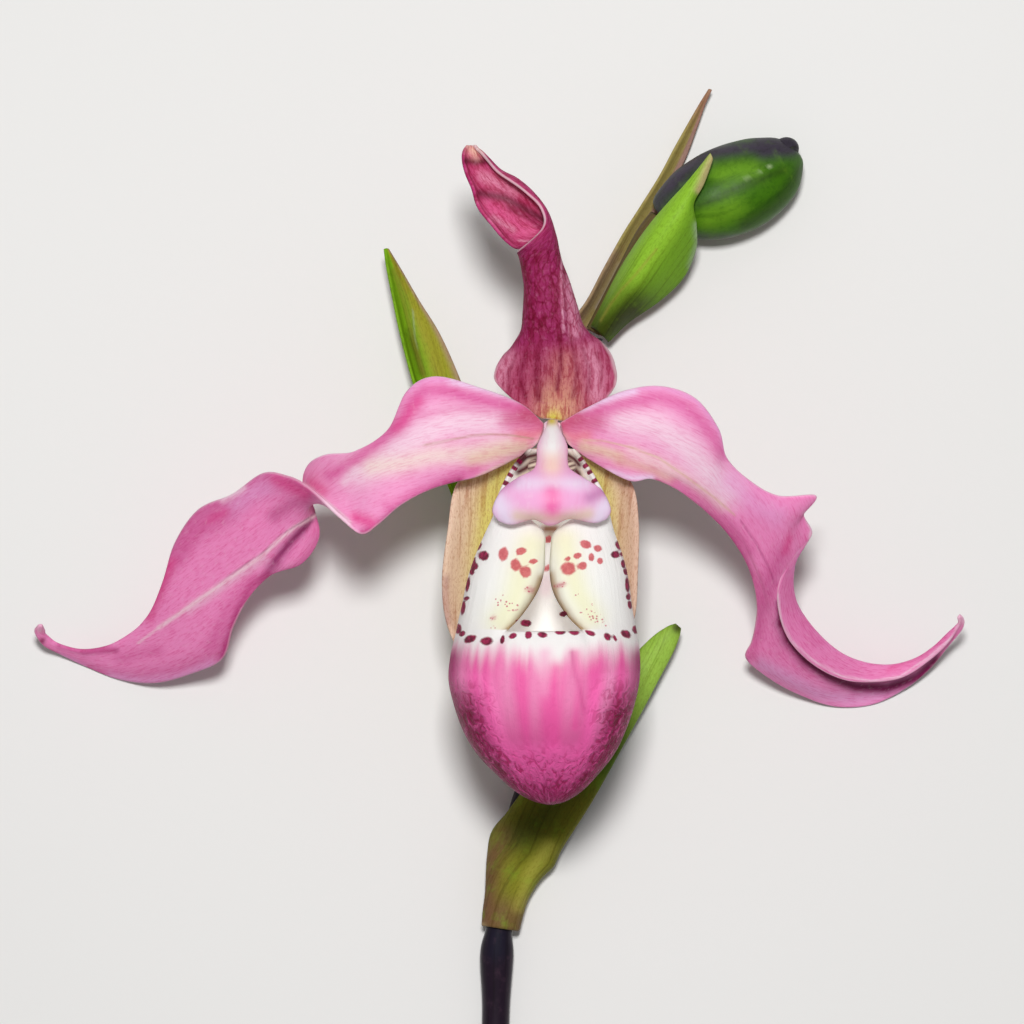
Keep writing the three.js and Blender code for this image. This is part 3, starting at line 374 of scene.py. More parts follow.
# The lip's station is [y, left side, right side, z of the sides, depth in front, depth behind,
# inner edge of the left side lobe, inner edge of the right one, how far those edges tuck in].
LIP = [
    [-2.4, -2.9, 2.9, 36.0, 1.0, 2.0, -2.8, 2.8, 0.0],
    [-4.0, -4.5, 4.2, 36.2, 1.5, 2.8, -4.3, 4.0, 0.0],
    [-6.2, -5.9, 5.6, 36.2, 1.8, 4.0, -5.6, 5.3, 0.0],
    [-8.6, -6.9, 6.8, 36.1, 2.1, 5.2, -6.2, 6.0, 0.1],
    [-10.8, -7.4, 7.3, 36.0, 2.4, 6.4, -3.2, 3.0, 0.5],
    [-12.8, -8.3, 7.8, 35.8, 3.0, 7.4, -1.05, 0.3, 0.9],
    [-15.0, -9.3, 8.6, 35.6, 4.2, 8.3, -0.9, -0.15, 1.1],
    [-17.4, -10.2, 9.3, 35.4, 5.2, 9.1, -1.0, -0.25, 1.3],
    [-19.6, -10.8, 9.7, 35.2, 6.2, 9.6, -1.6, 0.0, 1.5],
    [-21.6, -11.2, 9.95, 35.0, 7.1, 10.0, -2.7, 0.85, 1.5],
    [-23.8, -11.7, 10.3, 34.8, 8.2, 10.3, -4.3, 2.4, 1.2],
    [-25.7, -12.1, 10.7, 34.6, 9.8, 10.5, -6.0, 4.2, 0.5],
    [-28.2, -12.7, 11.0, 34.4, 11.2, 10.5, -6.4, 4.6, 0.0],
    [-31.2, -12.95, 10.95, 34.2, 12.0, 10.1, -6.5, 4.6, 0.0],
    [-34.4, -12.25, 10.3, 34.2, 11.8, 9.2, -6.2, 4.3, 0.0],
    [-37.6, -11.1, 9.2, 34.3, 10.4, 7.9, -5.6, 3.8, 0.0],
    [-40.4, -9.4, 7.8, 34.5, 8.3, 6.4, -4.8, 3.2, 0.0],
    [-42.8, -7.1, 5.9, 34.7, 6.0, 4.8, -3.7, 2.4, 0.0],
    [-44.8, -4.9, 4.0, 34.8, 3.9, 3.3, -2.6, 1.6, 0.0],
    [-46.1, -2.6, 2.0, 34.8, 2.1, 1.8, -1.5, 0.8, 0.0],
    [-46.55, -0.9, 0.4, 34.8, 0.5, 0.5, -0.5, 0.1, 0.0],
]
LIP_RIM_STATION = 11
LIP_ROUNDNESS = 2.3
LOBE_TUCK_WIDTH = 0.8

STAMINODE = [
    [[-0.45, 1.1, 33.4], [0.1, 1.1, 33.7], [0.65, 1.1, 33.4]],
    [[-0.75, 0.0, 35.2], [0.05, 0.0, 35.8], [0.85, 0.0, 35.2]],
    [[-1.7, -2.0, 37.2], [0.0, -2.0, 38.4], [1.8, -2.0, 37.2]],
    [[-1.8, -3.9, 38.8], [0.0, -4.0, 40.1], [1.85, -3.8, 38.8]],
    [[-2.4, -5.2, 39.8], [0.0, -5.3, 41.1], [2.2, -5.0, 39.8]],
    [[-4.6, -6.3, 40.4], [0.0, -6.5, 41.9], [4.0, -6.2, 40.4]],
    [[-6.4, -7.7, 40.6], [0.0, -8.0, 42.5], [6.2, -7.6, 40.6]],
    [[-7.4, -10.0, 40.4], [-0.1, -10.0, 42.5], [7.3, -9.9, 40.4]],
    [
        [-6.6, -11.3, 40.1], [-5.0, -11.8, 40.9], [-2.3, -11.1, 41.3], [-0.2, -11.9, 41.3],
        [2.2, -11.0, 41.3], [5.2, -11.6, 40.9], [6.7, -11.1, 40.1],
    ],
]

# A limb's station is [x, y, z, half width across the curve, half height].
STEM = [
    [-8.0, -104.29, 1.9, 1.75, 1.9],
    [-7.6, -92.0, 1.9, 1.75, 1.9],
    [-7.2, -80.0, 1.92, 1.75, 1.9],
    [-7.0, -72.0, 2.1, 1.75, 1.85],
    [-6.9, -65.6, 2.8, 2.1, 1.95],
    [-6.6, -62.2, 3.2, 1.65, 1.7],
    [-5.85, -57.0, 3.15, 1.65, 1.7],
    [-4.9, -52.0, 3.0, 1.6, 1.6],
    [-3.75, -47.4, 2.5, 1.6, 1.6],
    [-1.9, -42.0, 2.7, 1.65, 1.65],
    [-0.3, -36.0, 3.7, 1.65, 1.65],
    [0.6, -30.4, 4.8, 1.8, 1.8],
    [1.4, -22.0, 3.9, 1.55, 1.55],
    [2.4, -10.0, 3.4, 1.5, 1.5],
    [3.6, 2.0, 3.2, 1.45, 1.45],
    [4.9, 11.6, 3.1, 1.5, 1.4],
]

BUD_STALK = [
    [5.4, 12.3, 3.05, 1.2, 1.2],
    [7.25, 15.6, 3.5, 1.35, 1.3],
    [9.8, 20.2, 4.4, 1.5, 1.4],
    [12.0, 24.0, 5.2, 1.7, 1.6],
    [13.6, 26.5, 5.55, 1.5, 1.4],
]

BUD = [
    [13.7, 26.7, 5.6, 1.4, 1.4],
    [14.6, 27.4, 5.6, 2.9, 2.9],
    [16.9, 28.2, 5.6, 4.5, 4.5],
    [20.2, 29.2, 5.6, 5.5, 5.4],
    [23.8, 30.6, 5.6, 5.6, 5.5],
    [27.0, 32.3, 5.6, 4.8, 4.8],
    [29.2, 33.7, 5.6, 3.4, 3.5],
    [30.5, 34.5, 5.6, 1.7, 1.8],
    [30.8, 34.7, 5.6, 0.6, 0.6],
]
BUD_KNOB = [29.3, 35.2, 6.0, 1.6]   # the blunt tip's upper corner: [x, y, z, radius]

OVARY = [
    [0.9, -29.4, 8.2, 1.4, 1.3],
    [1.2, -26.8, 9.5, 1.5, 1.5],
    [1.5, -21.0, 12.8, 1.7, 1.7],
    [1.2, -13.6, 17.4, 1.9, 1.9],
    [0.7, -7.0, 22.2, 1.9, 1.9],
    [0.2, -2.6, 26.8, 1.7, 1.7],
    [0.0, -0.8, 29.4, 1.5, 1.5],
    [0.0, -0.2, 31.2, 1.5, 1.5],
]

COLUMN = [
    [0.0, -0.4, 33.9, 1.0, 0.8],
    [0.0, -0.9, 35.2, 1.1, 1.0],
    [0.0, -2.0, 36.7, 1.5, 1.1],
    [0.0, -3.6, 38.2, 1.7, 1.0],
    [0.0, -6.0, 39.8, 1.8, 0.8],
    [0.0, -8.2, 40.9, 1.2, 0.6],
]
ANTHER = [2.1, -4.6, 38.4, 0.95]    # as the knob, for the right one of the two
ANTHER_STRIPES = (-3.95, -4.6, -5.2)   # where they cross the anthers, in y
STIGMA = [0.0, -6.4, 38.8, 1.6]

# ------------------------------------------------------------------ markings
# A stroke is (colour, width, strength, point, point ...), with its points as the eye sees them
# and its width to where it fades to a third.

LEFT_ROOT_STROKES = [
    (PETAL_PALE, 2.2, 0.85, (-8, 1.0), (-13, 0.9), (-17, -0.9), (-21, -3.4), (-24, -5)),
    (CREAM_PINK, 1.3, 0.9, (-5.4, -1.9), (-10.3, -2.9), (-15, -3.2), (-19, -4.2), (-22.4, -4.6)),
    (CREAM_TAN, 1.0, 0.85, (-3.6, -1.9), (-7.5, -2.9), (-10, -3.8)),
    (PETAL_BAND, 0.95, 0.85, (-3.4, 2.6), (-7.4, 3.4), (-10.3, 4.1), (-13.5, 5.0), (-16, 4.9),
     (-17.4, 3.4), (-18.4, 1.2), (-21.4, -1.5), (-25, -4.2), (-27.4, -5.6)),
    (PETAL_HOT, 0.7, 0.6, (-16.6, 3.6), (-18.0, 1.7), (-19.4, 0.2)),
    (PETAL_BAND, 0.5, 0.35, (-8, 2.2), (-12, 2.8), (-16.4, 1.8)),
    (LAVENDER, 0.5, 0.95, (-4.6, 4.0), (-7.8, 5.0), (-10.3, 5.6), (-12.6, 6.1)),
    (LILAC_PINK, 0.55, 0.8, (-13.4, 6.4), (-16.2, 6.4), (-17.8, 5.2)),
    (ROOT_DARK, 1.1, 0.9, (-1.4, 1.5), (-3.4, 1.9)),
    (CORAL, 0.8, 0.6, (-1.2, -0.4), (-2.6, -0.6), (-4.2, -0.5)),
    (ROOT_WHITE, 0.7, 0.9, (-1.0, -1.0), (-1.7, -1.6)),
    (ROOT_DARK, 1.3, 0.6, (-1.2, 0.9), (-2.6, 1.2), (-5.4, 1.4)),
    (VEIN_OLIVE, 0.13, 0.75, (-2.5, -1.05), (-5.4, -0.6), (-7.8, -0.5), (-10.3, -0.7), (-13.5, -1.4),
     (-15.9, -1.9)),
    (PETAL_BAND, 0.8, 0.7, (-9.6, -4.9), (-12, -5.6), (-14.4, -6.7), (-17.4, -8.2), (-20.4, -9.8)),
    (PETAL_DARK, 0.55, 0.9, (-11.6, -6.2), (-14.3, -7.3), (-16.7, -8.6), (-19.9, -10.4), (-22.0, -12.2),
     (-23.6, -13.0)),
    (STRAW_PINK, 0.25, 0.7, (-4.5, -3.5), (-7, -4.5), (-9.4, -5.8)),
    (PETAL_HOT, 0.8, 0.8, (-22.6, -11.6), (-24.4, -11.0)),
    (PETAL_HOT, 0.8, 0.55, (-29.8, -6.6), (-28.6, -7.6)),
    (PETAL_PALE, 0.5, 0.6, (-24.4, -4.9), (-25.8, -6.6)),
    (PETAL_RIM, 0.28, 0.8, (-30.8, -6.7), (-28.4, -8.9), (-25.4, -11.7)),
]

LEFT_HANGING_STROKES = [
    (LILAC_PINK, 1.2, 0.7, (-35, -6.8), (-38, -8.2), (-40, -9.8)),
    # Painted shadow just past the twist, where the hanging part runs under the root part's margin.
    (PETAL_DARK, 0.9, 0.5, (-30.2, -8.4), (-32.6, -9.2), (-34.6, -10.6)),
    (PETAL_PALE, 0.5, 0.8, (-38.6, -7.2), (-41.0, -8.6)),
    (PETAL_HOT, 0.9, 0.75, (-30.6, -7.8), (-32.2, -7.0), (-34.4, -6.2)),
    (PETAL_BAND, 1.0, 0.7, (-40.6, -10.2), (-44.4, -12.6), (-46.6, -16)),
    (PETAL_HOT, 0.6, 0.5, (-40.8, -10.2), (-42.6, -11.2)),
    (PETAL_HOT, 0.7, 0.7, (-47.4, -16.4), (-48.8, -19.8), (-50.2, -23.4)),
    (PETAL_DARK, 0.5, 0.85, (-35.5, -17.7), (-37.8, -19.6), (-39.2, -22.4), (-40.1, -25.6),
     (-41.0, -28.0)),
    (PETAL_BAND, 0.9, 0.6, (-37.4, -18.4), (-40.4, -22.4), (-42.6, -26.8)),
    (LILAC_PINK, 0.7, 0.8, (-42.4, -29.2), (-46.4, -30.8), (-50.8, -31.4), (-55, -30.8)),
    (PETAL_BAND, 0.8, 0.5, (-49, -27.4), (-54, -28.4)),
    (PETAL_DARK, 0.4, 0.7, (-54.4, -27.4), (-58.4, -27.6), (-61.6, -26.7)),
    (LILAC_PINK, 0.3, 0.7, (-58.4, -29.3), (-61.5, -27.9)),
    # The next two strokes: painted shade in the groove beside the rib, on the fold past the twist.
    (RIB_GROOVE_SHADE, 0.7, 0.7, (-31.0, -12.0), (-33.0, -14.4), (-35.0, -17.0)),
    (RIB_GROOVE_SHADE, 0.32, 0.8, (-30.2, -11.2), (-32.5, -13.6), (-34.6, -16.2)),
    (PETAL_PALE, 0.6, 0.4, (-36.0, -16.0), (-40.6, -19.2), (-45.2, -22.4)),
    # The pale midrib, with a painted highlight along its raised keel.
    (RIB_AND_HIGHLIGHT, 0.24, 0.95, (-28.2, -9.2), (-29.8, -10.6), (-32.1, -11.9), (-33.8, -13.4), (-36, -15.5),
     (-40.25, -18.5), (-45.25, -22.0), (-49, -24.6)),
    (RIB_AND_HIGHLIGHT, 0.12, 0.8, (-49, -24.6), (-51.7, -26.6)),
    # painted shade in the groove beside the rib
    (RIB_GROOVE_SHADE, 0.08, 0.5, (-29.8, -10.3), (-33.8, -13.0), (-36.0, -15.2), (-42, -19.3)),
    (MAROON, 0.4, 0.85, (-63.8, -26.2)),
    (TIP_PINK, 0.5, 0.8, (-64, -24.8)),
]

RIGHT_STROKES = [
    (PETAL_PALE, 2.0, 0.85, (9, 1.2), (13, 0.6), (16.6, -2.0), (19.6, -5.4), (22, -7.6)),
    (PETAL_BAND, 1.0, 0.75, (4.4, 2.0), (9, 3.2), (13.3, 4.1), (15.9, 3.3), (18.4, 1.4), (20.1, -0.8),
     (21.2, -3.0)),
    (LAVENDER, 0.55, 0.95, (3.6, 2.45), (5.7, 3.4), (8.2, 4.3), (10.4, 4.9)),
    (LILAC_PINK, 0.35, 0.7, (11, 5.2), (14, 5.3), (18, 3.8), (20.8, 0), (21.8, -3.2)),
    (ROOT_DARK, 1.0, 0.85, (1.3, 0.8), (3.3, 1.4)),
    (CORAL, 0.8, 0.6, (1.6, -0.6), (3.0, -0.9), (4.4, -0.6)),
    (ROOT_WHITE, 0.7, 0.9, (1.2, -1.0), (1.8, -1.6)),
    (ROOT_DARK, 1.3, 0.6, (1.6, 0.6), (3.2, 0.7), (5.6, 1.0)),
    (CREAM_TAN, 0.8, 0.9, (4.0, -2.0), (6.2, -2.5), (8.4, -3.2)),
    (PEACH_PINK, 0.8, 0.8, (8.6, -3.7), (12.4, -4.8), (15, -6.0)),
    (LAVENDER, 0.45, 0.9, (7.2, -5.1), (9.6, -5.9), (12.4, -5.9)),
    (CREAM_PINK, 0.9, 0.6, (10, -2.6), (14, -4.2), (18, -7.0), (21, -9.4)),
    (VEIN_CREAM, 0.13, 0.7, (4.0, -1.25), (6.5, -1.3), (9.9, -2.1), (13.3, -3.4), (16.7, -5.7),
     (20.1, -8.2), (22.8, -10.5)),
    (PETAL_DARK, 0.3, 0.85, (13, -6.2), (15.9, -7.8), (18.2, -9.3)),
    (PETAL_DARK, 0.6, 0.9, (18.2, -9.5), (20.4, -11.2), (22.4, -13.4), (24.0, -16.2), (24.8, -18.2)),
    (PETAL_BAND, 0.9, 0.7, (15.4, -6.6), (19, -8.8), (22, -11.6), (24.6, -15)),
    (PETAL_HOT, 0.35, 0.5, (25.0, -18.8), (25.5, -21.4)),
    (LILAC_PINK, 1.6, 0.6, (22.4, -6.4), (25.4, -9.2), (28, -10.6)),
    (PETAL_BAND, 1.2, 0.75, (28.6, -15.4), (27.2, -18.0), (26.6, -21.6)),
    (PETAL_DARK, 0.12, 0.55, (23.5, -11.2), (25.5, -14.0), (26.8, -16.8), (27.9, -19.2)),
    (PETAL_HOT, 0.5, 0.7, (30.6, -10.6), (29.8, -12.8), (29.0, -15.0)),
]

RIGHT_UNDER_STROKES = [
    (PETAL_BAND, 1.3, 0.3, (26.0, -25.0), (28.0, -27.6), (31.6, -30.4)),
    (LILAC_PINK, 1.0, 0.85, (26.2, -29.2), (29, -30.6), (33.5, -32.9), (37.5, -33.6), (41, -33.0),
     (44.6, -31.6)),
    # The next two strokes: a dark wine band under the folded flap's edge, partly the petal's own dark colour
    # and partly painted shadow cast by the flap.
    (UNDER_FLAP_WINE_AND_SHADOW, 0.85, 0.97, (28.9, -24.0), (29.5, -26.1), (31.7, -28.7), (34.65, -30.6), (37.9, -31.9),
     (41.8, -32.2), (45.7, -30.9), (48.0, -28.7)),
    (UNDER_FLAP_WINE_AND_SHADOW, 0.34, 0.9, (28.2, -21.4), (28.5, -24.2)),
    (PETAL_BAND, 0.8, 0.7, (25.5, -19), (25.9, -24), (25.0, -28)),
]

RIGHT_FLAP_STROKES = [
    (PETAL_BAND, 0.9, 0.4, (29.6, -17.6), (30.2, -22), (33, -26.4)),
    (LILAC_PINK, 0.5, 0.6, (30.4, -15.2), (30.3, -18.4), (31.2, -22.6)),
    (PETAL_PALE, 0.13, 0.75, (28.1, -20.5), (28.5, -23.7), (29.8, -26.3), (32.3, -28.6), (36, -30.7),
     (39.8, -31.4), (43.5, -30.9), (47.2, -28.5), (50.2, -25.8)),
    (PETAL_HOT, 0.35, 0.5, (42, -30.1), (46.2, -28.2), (49.2, -25.8)),
]

DORSAL_VEINS = [
    (DORSAL_DARK, 0.35, 0.85, (0.6, 5.2), (1.1, 8.2), (1.0, 11.0), (0.6, 14), (0.2, 18)),
    (DORSAL_DARK, 0.45, 0.85, (-1.6, 4.0), (-2.0, 7.0), (-1.6, 10.4), (-1.0, 14)),
    (DORSAL_DARK, 0.4, 0.85, (-3.4, 4.2), (-3.9, 7.0), (-3.2, 9.8), (-2.0, 12.6)),
    (DORSAL_DARK, 0.3, 0.7, (2.6, 4.2), (3.1, 7.2), (2.6, 10.2), (1.9, 13)),
    (DORSAL_DARK, 0.22, 0.6, (4.4, 4.8), (4.7, 7.4), (3.8, 10.2)),
    (DORSAL_DARK, 0.22, 0.55, (-5.2, 4.8), (-5.4, 7.2), (-4.2, 9.8)),
    (DORSAL_DARK, 0.18, 0.45, (6.0, 5.4), (6.2, 7.6), (5.4, 9.6)),
    (DORSAL_DARK, 0.5, 0.6, (-2.4, 13), (-2.8, 17), (-3.0, 20.5)),
    (DORSAL_DARK, 0.35, 0.5, (1.9, 14), (1.2, 18), (0.4, 21.8)),
    (DORSAL_DARK, 0.3, 0.45, (-1.1, 15.5), (-1.6, 19), (-2.2, 22.6)),
]

DORSAL_BLOTCHES = [
    (DORSAL_DARK, 0.5, 0.6, (-0.6, 12.4)),
    (DORSAL_DARK, 0.4, 0.6, (-2.2, 14.6)),
    (DORSAL_DARK, 0.4, 0.6, (1.6, 15.6)),
    (DORSAL_DARK, 0.45, 0.6, (-1.6, 17.2)),
    (DORSAL_DARK, 0.4, 0.6, (0.2, 19.6)),
    (DORSAL_DARK, 0.4, 0.6, (-2.8, 19.2)),
    (DORSAL_DARK, 0.45, 0.6, (-1.4, 21.4)),
    (DORSAL_DARK, 0.4, 0.6, (2.4, 13.2)),
    (DORSAL_DARK, 0.35, 0.6, (-3.1, 16.0)),
    (DORSAL_DARK, 0.3, 0.6, (-0.4, 16.8)),
]

DORSAL_NECK_STROKES = [
    (PALE_ROSE, 0.9, 0.6, (2.8, 12.2), (2.4, 15.4), (1.8, 18.6)),
]

DORSAL_BASE_STROKES = [
    (TAN_YELLOW, 2.6, 0.85, (0.3, 0.8), (0.8, 3.4)),
    (LEAF_YELLOW, 1.0, 0.9, (0.2, 0.6), (0.2, 1.6)),
    (TAN_PINK, 1.8, 0.7, (1.0, 4.6), (1.6, 7.0), (1.5, 9)),
    (PALE_ROSE, 1.0, 0.6, (-6.6, 4.4), (-6.4, 7.4), (-5.2, 9.6)),
    (PALE_ROSE, 1.2, 0.6, (5.6, 4.4), (5.4, 7), (4.4, 10.2)),
]

DORSAL_TROUGH_STROKES = [
    (HOT_ROSE, 1.4, 0.85, (-8.4, 27.6), (-6.5, 26.2), (-4.3, 24.9), (-2.0, 24.8)),
    (PALE_ROSE, 0.45, 0.6, (-7.4, 26.4), (-5.0, 25.0)),
    (PALE_ROSE, 0.9, 0.55, (-8.6, 31.6), (-7.0, 31.2), (-4.6, 29.9)),
    (ROSE, 0.8, 0.6, (-6.6, 32.2), (-3.4, 29.8), (-1.4, 28.0)),
    # Painted shade along the groove inside the trough.
    (TROUGH_GROOVE_SHADE, 0.6, 0.85, (-9.05, 29.5), (-6.0, 29.0), (-3.9, 28.0), (-0.9, 26.3), (-0.2, 25.4)),
    (DORSAL_DARK, 0.4, 0.75, (-5.4, 27.8), (-2.4, 26.2), (-0.8, 24.9)),
    (WINE, 0.5, 0.95, (-11.0, 33.6), (-9.7, 33.5), (-8.4, 33.6)),
    (TIP_CREAM, 0.9, 0.95, (-10.0, 35.3), (-9.5, 34.7)),
]

SYNSEPAL_STROKES = [
    (SEPAL_EDGE, 0.4, 0.7, (-13.4, -18.4), (-13.5, -21.2), (-13.1, -24.2)),
    (SEPAL_VEIN, 0.12, 0.7, (8.6, -6.4), (9.0, -9), (8.9, -13), (8.6, -18)),
    (SEPAL_VEIN, 0.1, 0.4, (-10.6, -7), (-11.4, -11), (-12, -16)),
    (SHADE_OLIVE, 0.5, 0.6, (-11.4, -6.6), (-9.0, -5.0), (-6.4, -4.0)),
    (SHADE_OLIVE, 0.4, 0.5, (9.6, -6.4), (7.6, -5.2), (5.4, -3.8)),
]

LOBE_STROKES = [
    (IVORY, 2.0, 0.85, (-2.6, -14.6), (-3.6, -17.6), (-4.4, -21), (-6.2, -24.0)),
    (IVORY, 1.7, 0.85, (1.6, -14.0), (2.2, -17.4), (3.2, -20.6), (4.8, -23.4)),
    (LOBE_EDGE, 0.6, 0.95, (-1.5, -18.6), (-2.6, -21.6), (-4.4, -23.9), (-6.2, -25.8)),
    (LOBE_EDGE, 0.55, 0.95, (-0.1, -18.2), (0.75, -21.2), (2.35, -23.6), (4.35, -25.6)),
    (FAINT_SPOT, 0.36, 0.85, (-2.9, -19.95)),
    (FAINT_SPOT, 0.3, 0.85, (0.85, -19.5)),
    (FAINT_SPOT, 0.26, 0.85, (1.5, -19.35)),
    (FAINT_SPOT, 0.26, 0.85, (-7.25, -23.6)),
]

LIP_INSIDE_STROKES = [
    (BROWN, 0.55, 0.95, (-0.9, -12.2), (0.5, -12.2)),
    (LOBE_EDGE, 0.5, 0.7, (-0.4, -13.0)),
    (BLUSH, 0.8, 0.6, (-0.9, -18.6), (-0.9, -20)),
]

LIP_ROOT_STROKES = [
    (CREAM, 0.9, 0.9, (-2.6, -3.4), (-3.8, -5.6)),
    (CREAM, 0.9, 0.9, (2.5, -3.4), (3.6, -5.6)),
    (STRIPE_BROWN, 0.36, 1.0, (-4.3, -4.1), (-3.4, -3.2), (-1.9, -2.9)),
    (STRIPE_BROWN, 0.45, 1.0, (-4.4, -5.1), (-3.4, -4.6), (-2.2, -3.7)),
    (STRIPE_BROWN, 0.36, 1.0, (2.0, -2.9), (3.0, -3.5), (3.6, -4.2)),
    (STRIPE_BROWN, 0.42, 1.0, (2.1, -3.8), (3.1, -4.9), (3.5, -5.3)),
    (STRIPE_BROWN, 0.42, 1.0, (3.4, -5.8), (4.7, -6.7)),
]

SHIELD_STROKES = [
    (SHIELD_LIGHT, 1.5, 0.9, (-6.6, -9.0), (-5.4, -11.0)),
    (SHIELD_LIGHT, 1.4, 0.9, (6.6, -9.0), (5.6, -10.8)),
    (SHIELD_LIGHT, 0.9, 0.7, (-4.0, -6.9), (4.0, -6.9)),
    (SHIELD_SHADE, 0.6, 0.6, (-6, -7.4), (-4.4, -6.5)),
    (SHIELD_SHADE, 0.8, 0.8, (6.2, -7.8), (4.6, -8.5)),
    (SHIELD_BEIGE, 0.75, 0.85, (-4.2, -10.6), (-1.4, -10.7), (1.4, -10.7), (4.4, -10.4)),
    (SHIELD_HOT, 1.15, 0.9, (0, -8.2), (0, -9.6)),
    (SHIELD_PEACH, 1.3, 0.95, (0, -3.4), (0, -4.8)),
    (WHITE, 1.3, 1.0, (0, -0.2), (0, -2.2)),
    (SHIELD_YELLOW, 0.5, 0.95, (0, 1.2), (0, 0.7)),
]

FLORAL_BRACT_STROKES = [
    # Painted shade in the valley of the bract's crease, then a painted highlight along the crease.
    (BRACT_SHADE, 0.55, 0.8, (-18.0, 12.2), (-17.3, 10), (-16.4, 7.25)),
    (GREY_GREEN, 0.12, 0.45, (-17.4, 14.95), (-17.2, 11.4), (-16.9, 10.4)),
    (OLIVE, 0.4, 0.6, (-13.8, 0.4), (-15.8, 5.8), (-17.4, 11.4), (-18.7, 16.2), (-19.9, 19.9)),
]

END_BRACT_STROKES = [
    (MAUVE_GREY, 0.9, 0.6, (3.0, 13.6), (5.6, 18.2), (7.6, 22.0)),
    (MAUVE_PALE, 0.35, 0.6, (5.6, 15.4), (7.2, 18.2), (8.4, 20.6)),
]

BUD_BRACT_STROKES = [
    (DARK_OLIVE, 2.8, 0.95, (5.4, 12), (7.6, 13.4), (10, 15.2)),
    (KEEL_TAN, 0.16, 0.5, (6.2, 13.6), (7.4, 15.6), (8.7, 17.4), (10.4, 19.3), (13, 22.6)),
    (TAN, 0.5, 0.8, (18.2, 30), (19.2, 32.4), (20, 34.2)),
    (GREY_GREEN, 0.5, 0.75, (17.3, 20.6), (18.2, 23.4), (18.0, 25.6)),
]

SHEATH_STROKES = [
    (SHEATH_MAUVE, 1.5, 0.85, (-8.4, -61), (-7.8, -57), (-7.4, -53.5), (-5.6, -50.5)),
    (SHEATH_SHADE, 2.8, 0.8, (-3.6, -50.6), (-0.7, -47.6), (1.8, -44.4)),
    (YELLOW_GREEN, 0.9, 0.4, (-4.2, -59.5), (-2.8, -55.4), (-0.4, -52)),
]

SHEATH_TIP_STROKES = [
    (DARK_OLIVE, 0.7, 0.9, (15.6, -24.8), (15.9, -24.4)),
    (TAN, 0.5, 0.7, (-8.7, -62.0)),
]

BUD_STROKES = [
    (LIME, 1.6, 0.45, (19.5, 26.6), (22.5, 27.8)),
    (LIME, 1.4, 0.4, (21, 32), (25, 32.6)),
    (BUD_DARK, 0.5, 0.7, (17.5, 27.6), (24, 30.5), (29, 32.5)),
    (BUD_DARK, 0.9, 0.7, (24, 25.6), (28.4, 28.4), (31, 32.4)),
    (BUD_SLATE, 1.2, 0.97, (14.6, 30.6), (17, 33), (20.3, 34.8), (24.5, 35.4), (29.5, 35.8)),
    (BUD_SLATE, 1.2, 0.9, (26.5, 34.9), (29.8, 35.2)),
    (BUD_KNOB_DARK, 0.9, 0.9, (26, 36.2), (30.2, 35.6)),
    (BUD_SLATE, 1.7, 0.9, (12.4, 26.6), (14.0, 30.2), (16.4, 33.0)),
    (BUD_SLATE, 0.6, 0.5, (18.5, 24.2), (23, 23.9)),
    # Painted highlights: short glints along the bud's slate band.
    (BUD_HIGHLIGHT, 0.11, 0.45, (24.0, 31.4), (24.6, 31.7)),
    (BUD_HIGHLIGHT, 0.11, 0.45, (25.4, 32.2), (26.0, 32.4)),
    (BUD_HIGHLIGHT, 0.11, 0.45, (27.0, 32.9), (27.6, 33.0)),
]

# The dorsal sepal's pale lines: the disc's two turns, the tube's overlap, where the pale line is a painted
# highlight, and the trough's margin.
DISC_EDGES = [
    [(-5.4, 10.1), (-6.7, 8.8), (-7.2, 6.8), (-6.9, 5.3)],
    [(5.8, 11.6), (7.3, 9.3), (8.0, 6.8), (7.8, 5.3), (6.9, 4.1)],
]
DORSAL_OVERLAP = [(0.86, 23.6), (1.05, 18.1), (1.25, 14.6), (1.4, 12.2)]
DORSAL_MOUTH = [
    (-4.3, 23.6), (-2.8, 23.6), (-1.1, 23.7), (0.2, 24.7), (0.34, 25.8), (-0.2, 27.3),
    (-1.7, 28.6), (-3.9, 30.8), (-6.0, 32.9), (-7.8, 34.2),
]

# A spot is (x, y, half length, half width, turn in degrees).
MAROON_SPOTS = [
    (-11.5, -24.9, 0.45, 0.6, 0), (-10.95, -25.55, 0.4, 0.3, 30), (-10.0, -26.2, 0.75, 0.42, 20),
    (-8.0, -26.5, 0.72, 0.5, 5), (-6.1, -26.35, 0.3, 0.5, -10), (-4.8, -25.9, 0.45, 0.32, 25),
    (-2.9, -25.75, 0.42, 0.5, 0), (-1.2, -25.75, 0.6, 0.36, -12), (1.0, -25.4, 0.62, 0.32, 0),
    (2.65, -25.4, 0.6, 0.36, -12), (4.7, -25.5, 0.66, 0.32, -25), (6.75, -25.95, 0.5, 0.36, -50),
    (7.65, -26.1, 0.45, 0.2, -60), (9.0, -25.6, 0.62, 0.42, -30), (10.2, -25.0, 0.42, 0.5, 0),
    (-8.95, -14.6, 0.34, 0.6, -25), (-8.35, -15.8, 0.6, 0.58, 0), (-9.55, -16.4, 0.26, 0.42, -10),
    (-9.5, -17.1, 0.45, 0.5, 30), (-9.75, -17.8, 0.28, 0.4, 0), (-10.26, -19.4, 0.26, 0.85, -8),
    (-10.4, -21.1, 0.34, 0.24, 10), (-10.82, -22.3, 0.26, 0.85, -8), (8.1, -14.5, 0.36, 0.55, 30),
    (7.7, -15.65, 0.5, 0.42, 0), (8.45, -15.6, 0.25, 0.28, 0), (8.62, -16.8, 0.24, 0.5, 5),
    (8.95, -17.8, 0.26, 0.42, 25), (9.15, -19.4, 0.26, 0.9, 4), (9.27, -20.9, 0.27, 0.36, 0),
    (9.45, -21.9, 0.24, 0.5, 8), (1.65, -23.0, 0.46, 0.44, -30), (-4.4, -23.9, 0.4, 0.24, -40),
]
INSIDE_MAROON_SPOTS = [(-3.3, -24.1, 0.72, 0.46, -10), (1.45, -22.9, 0.5, 0.4, 0)]
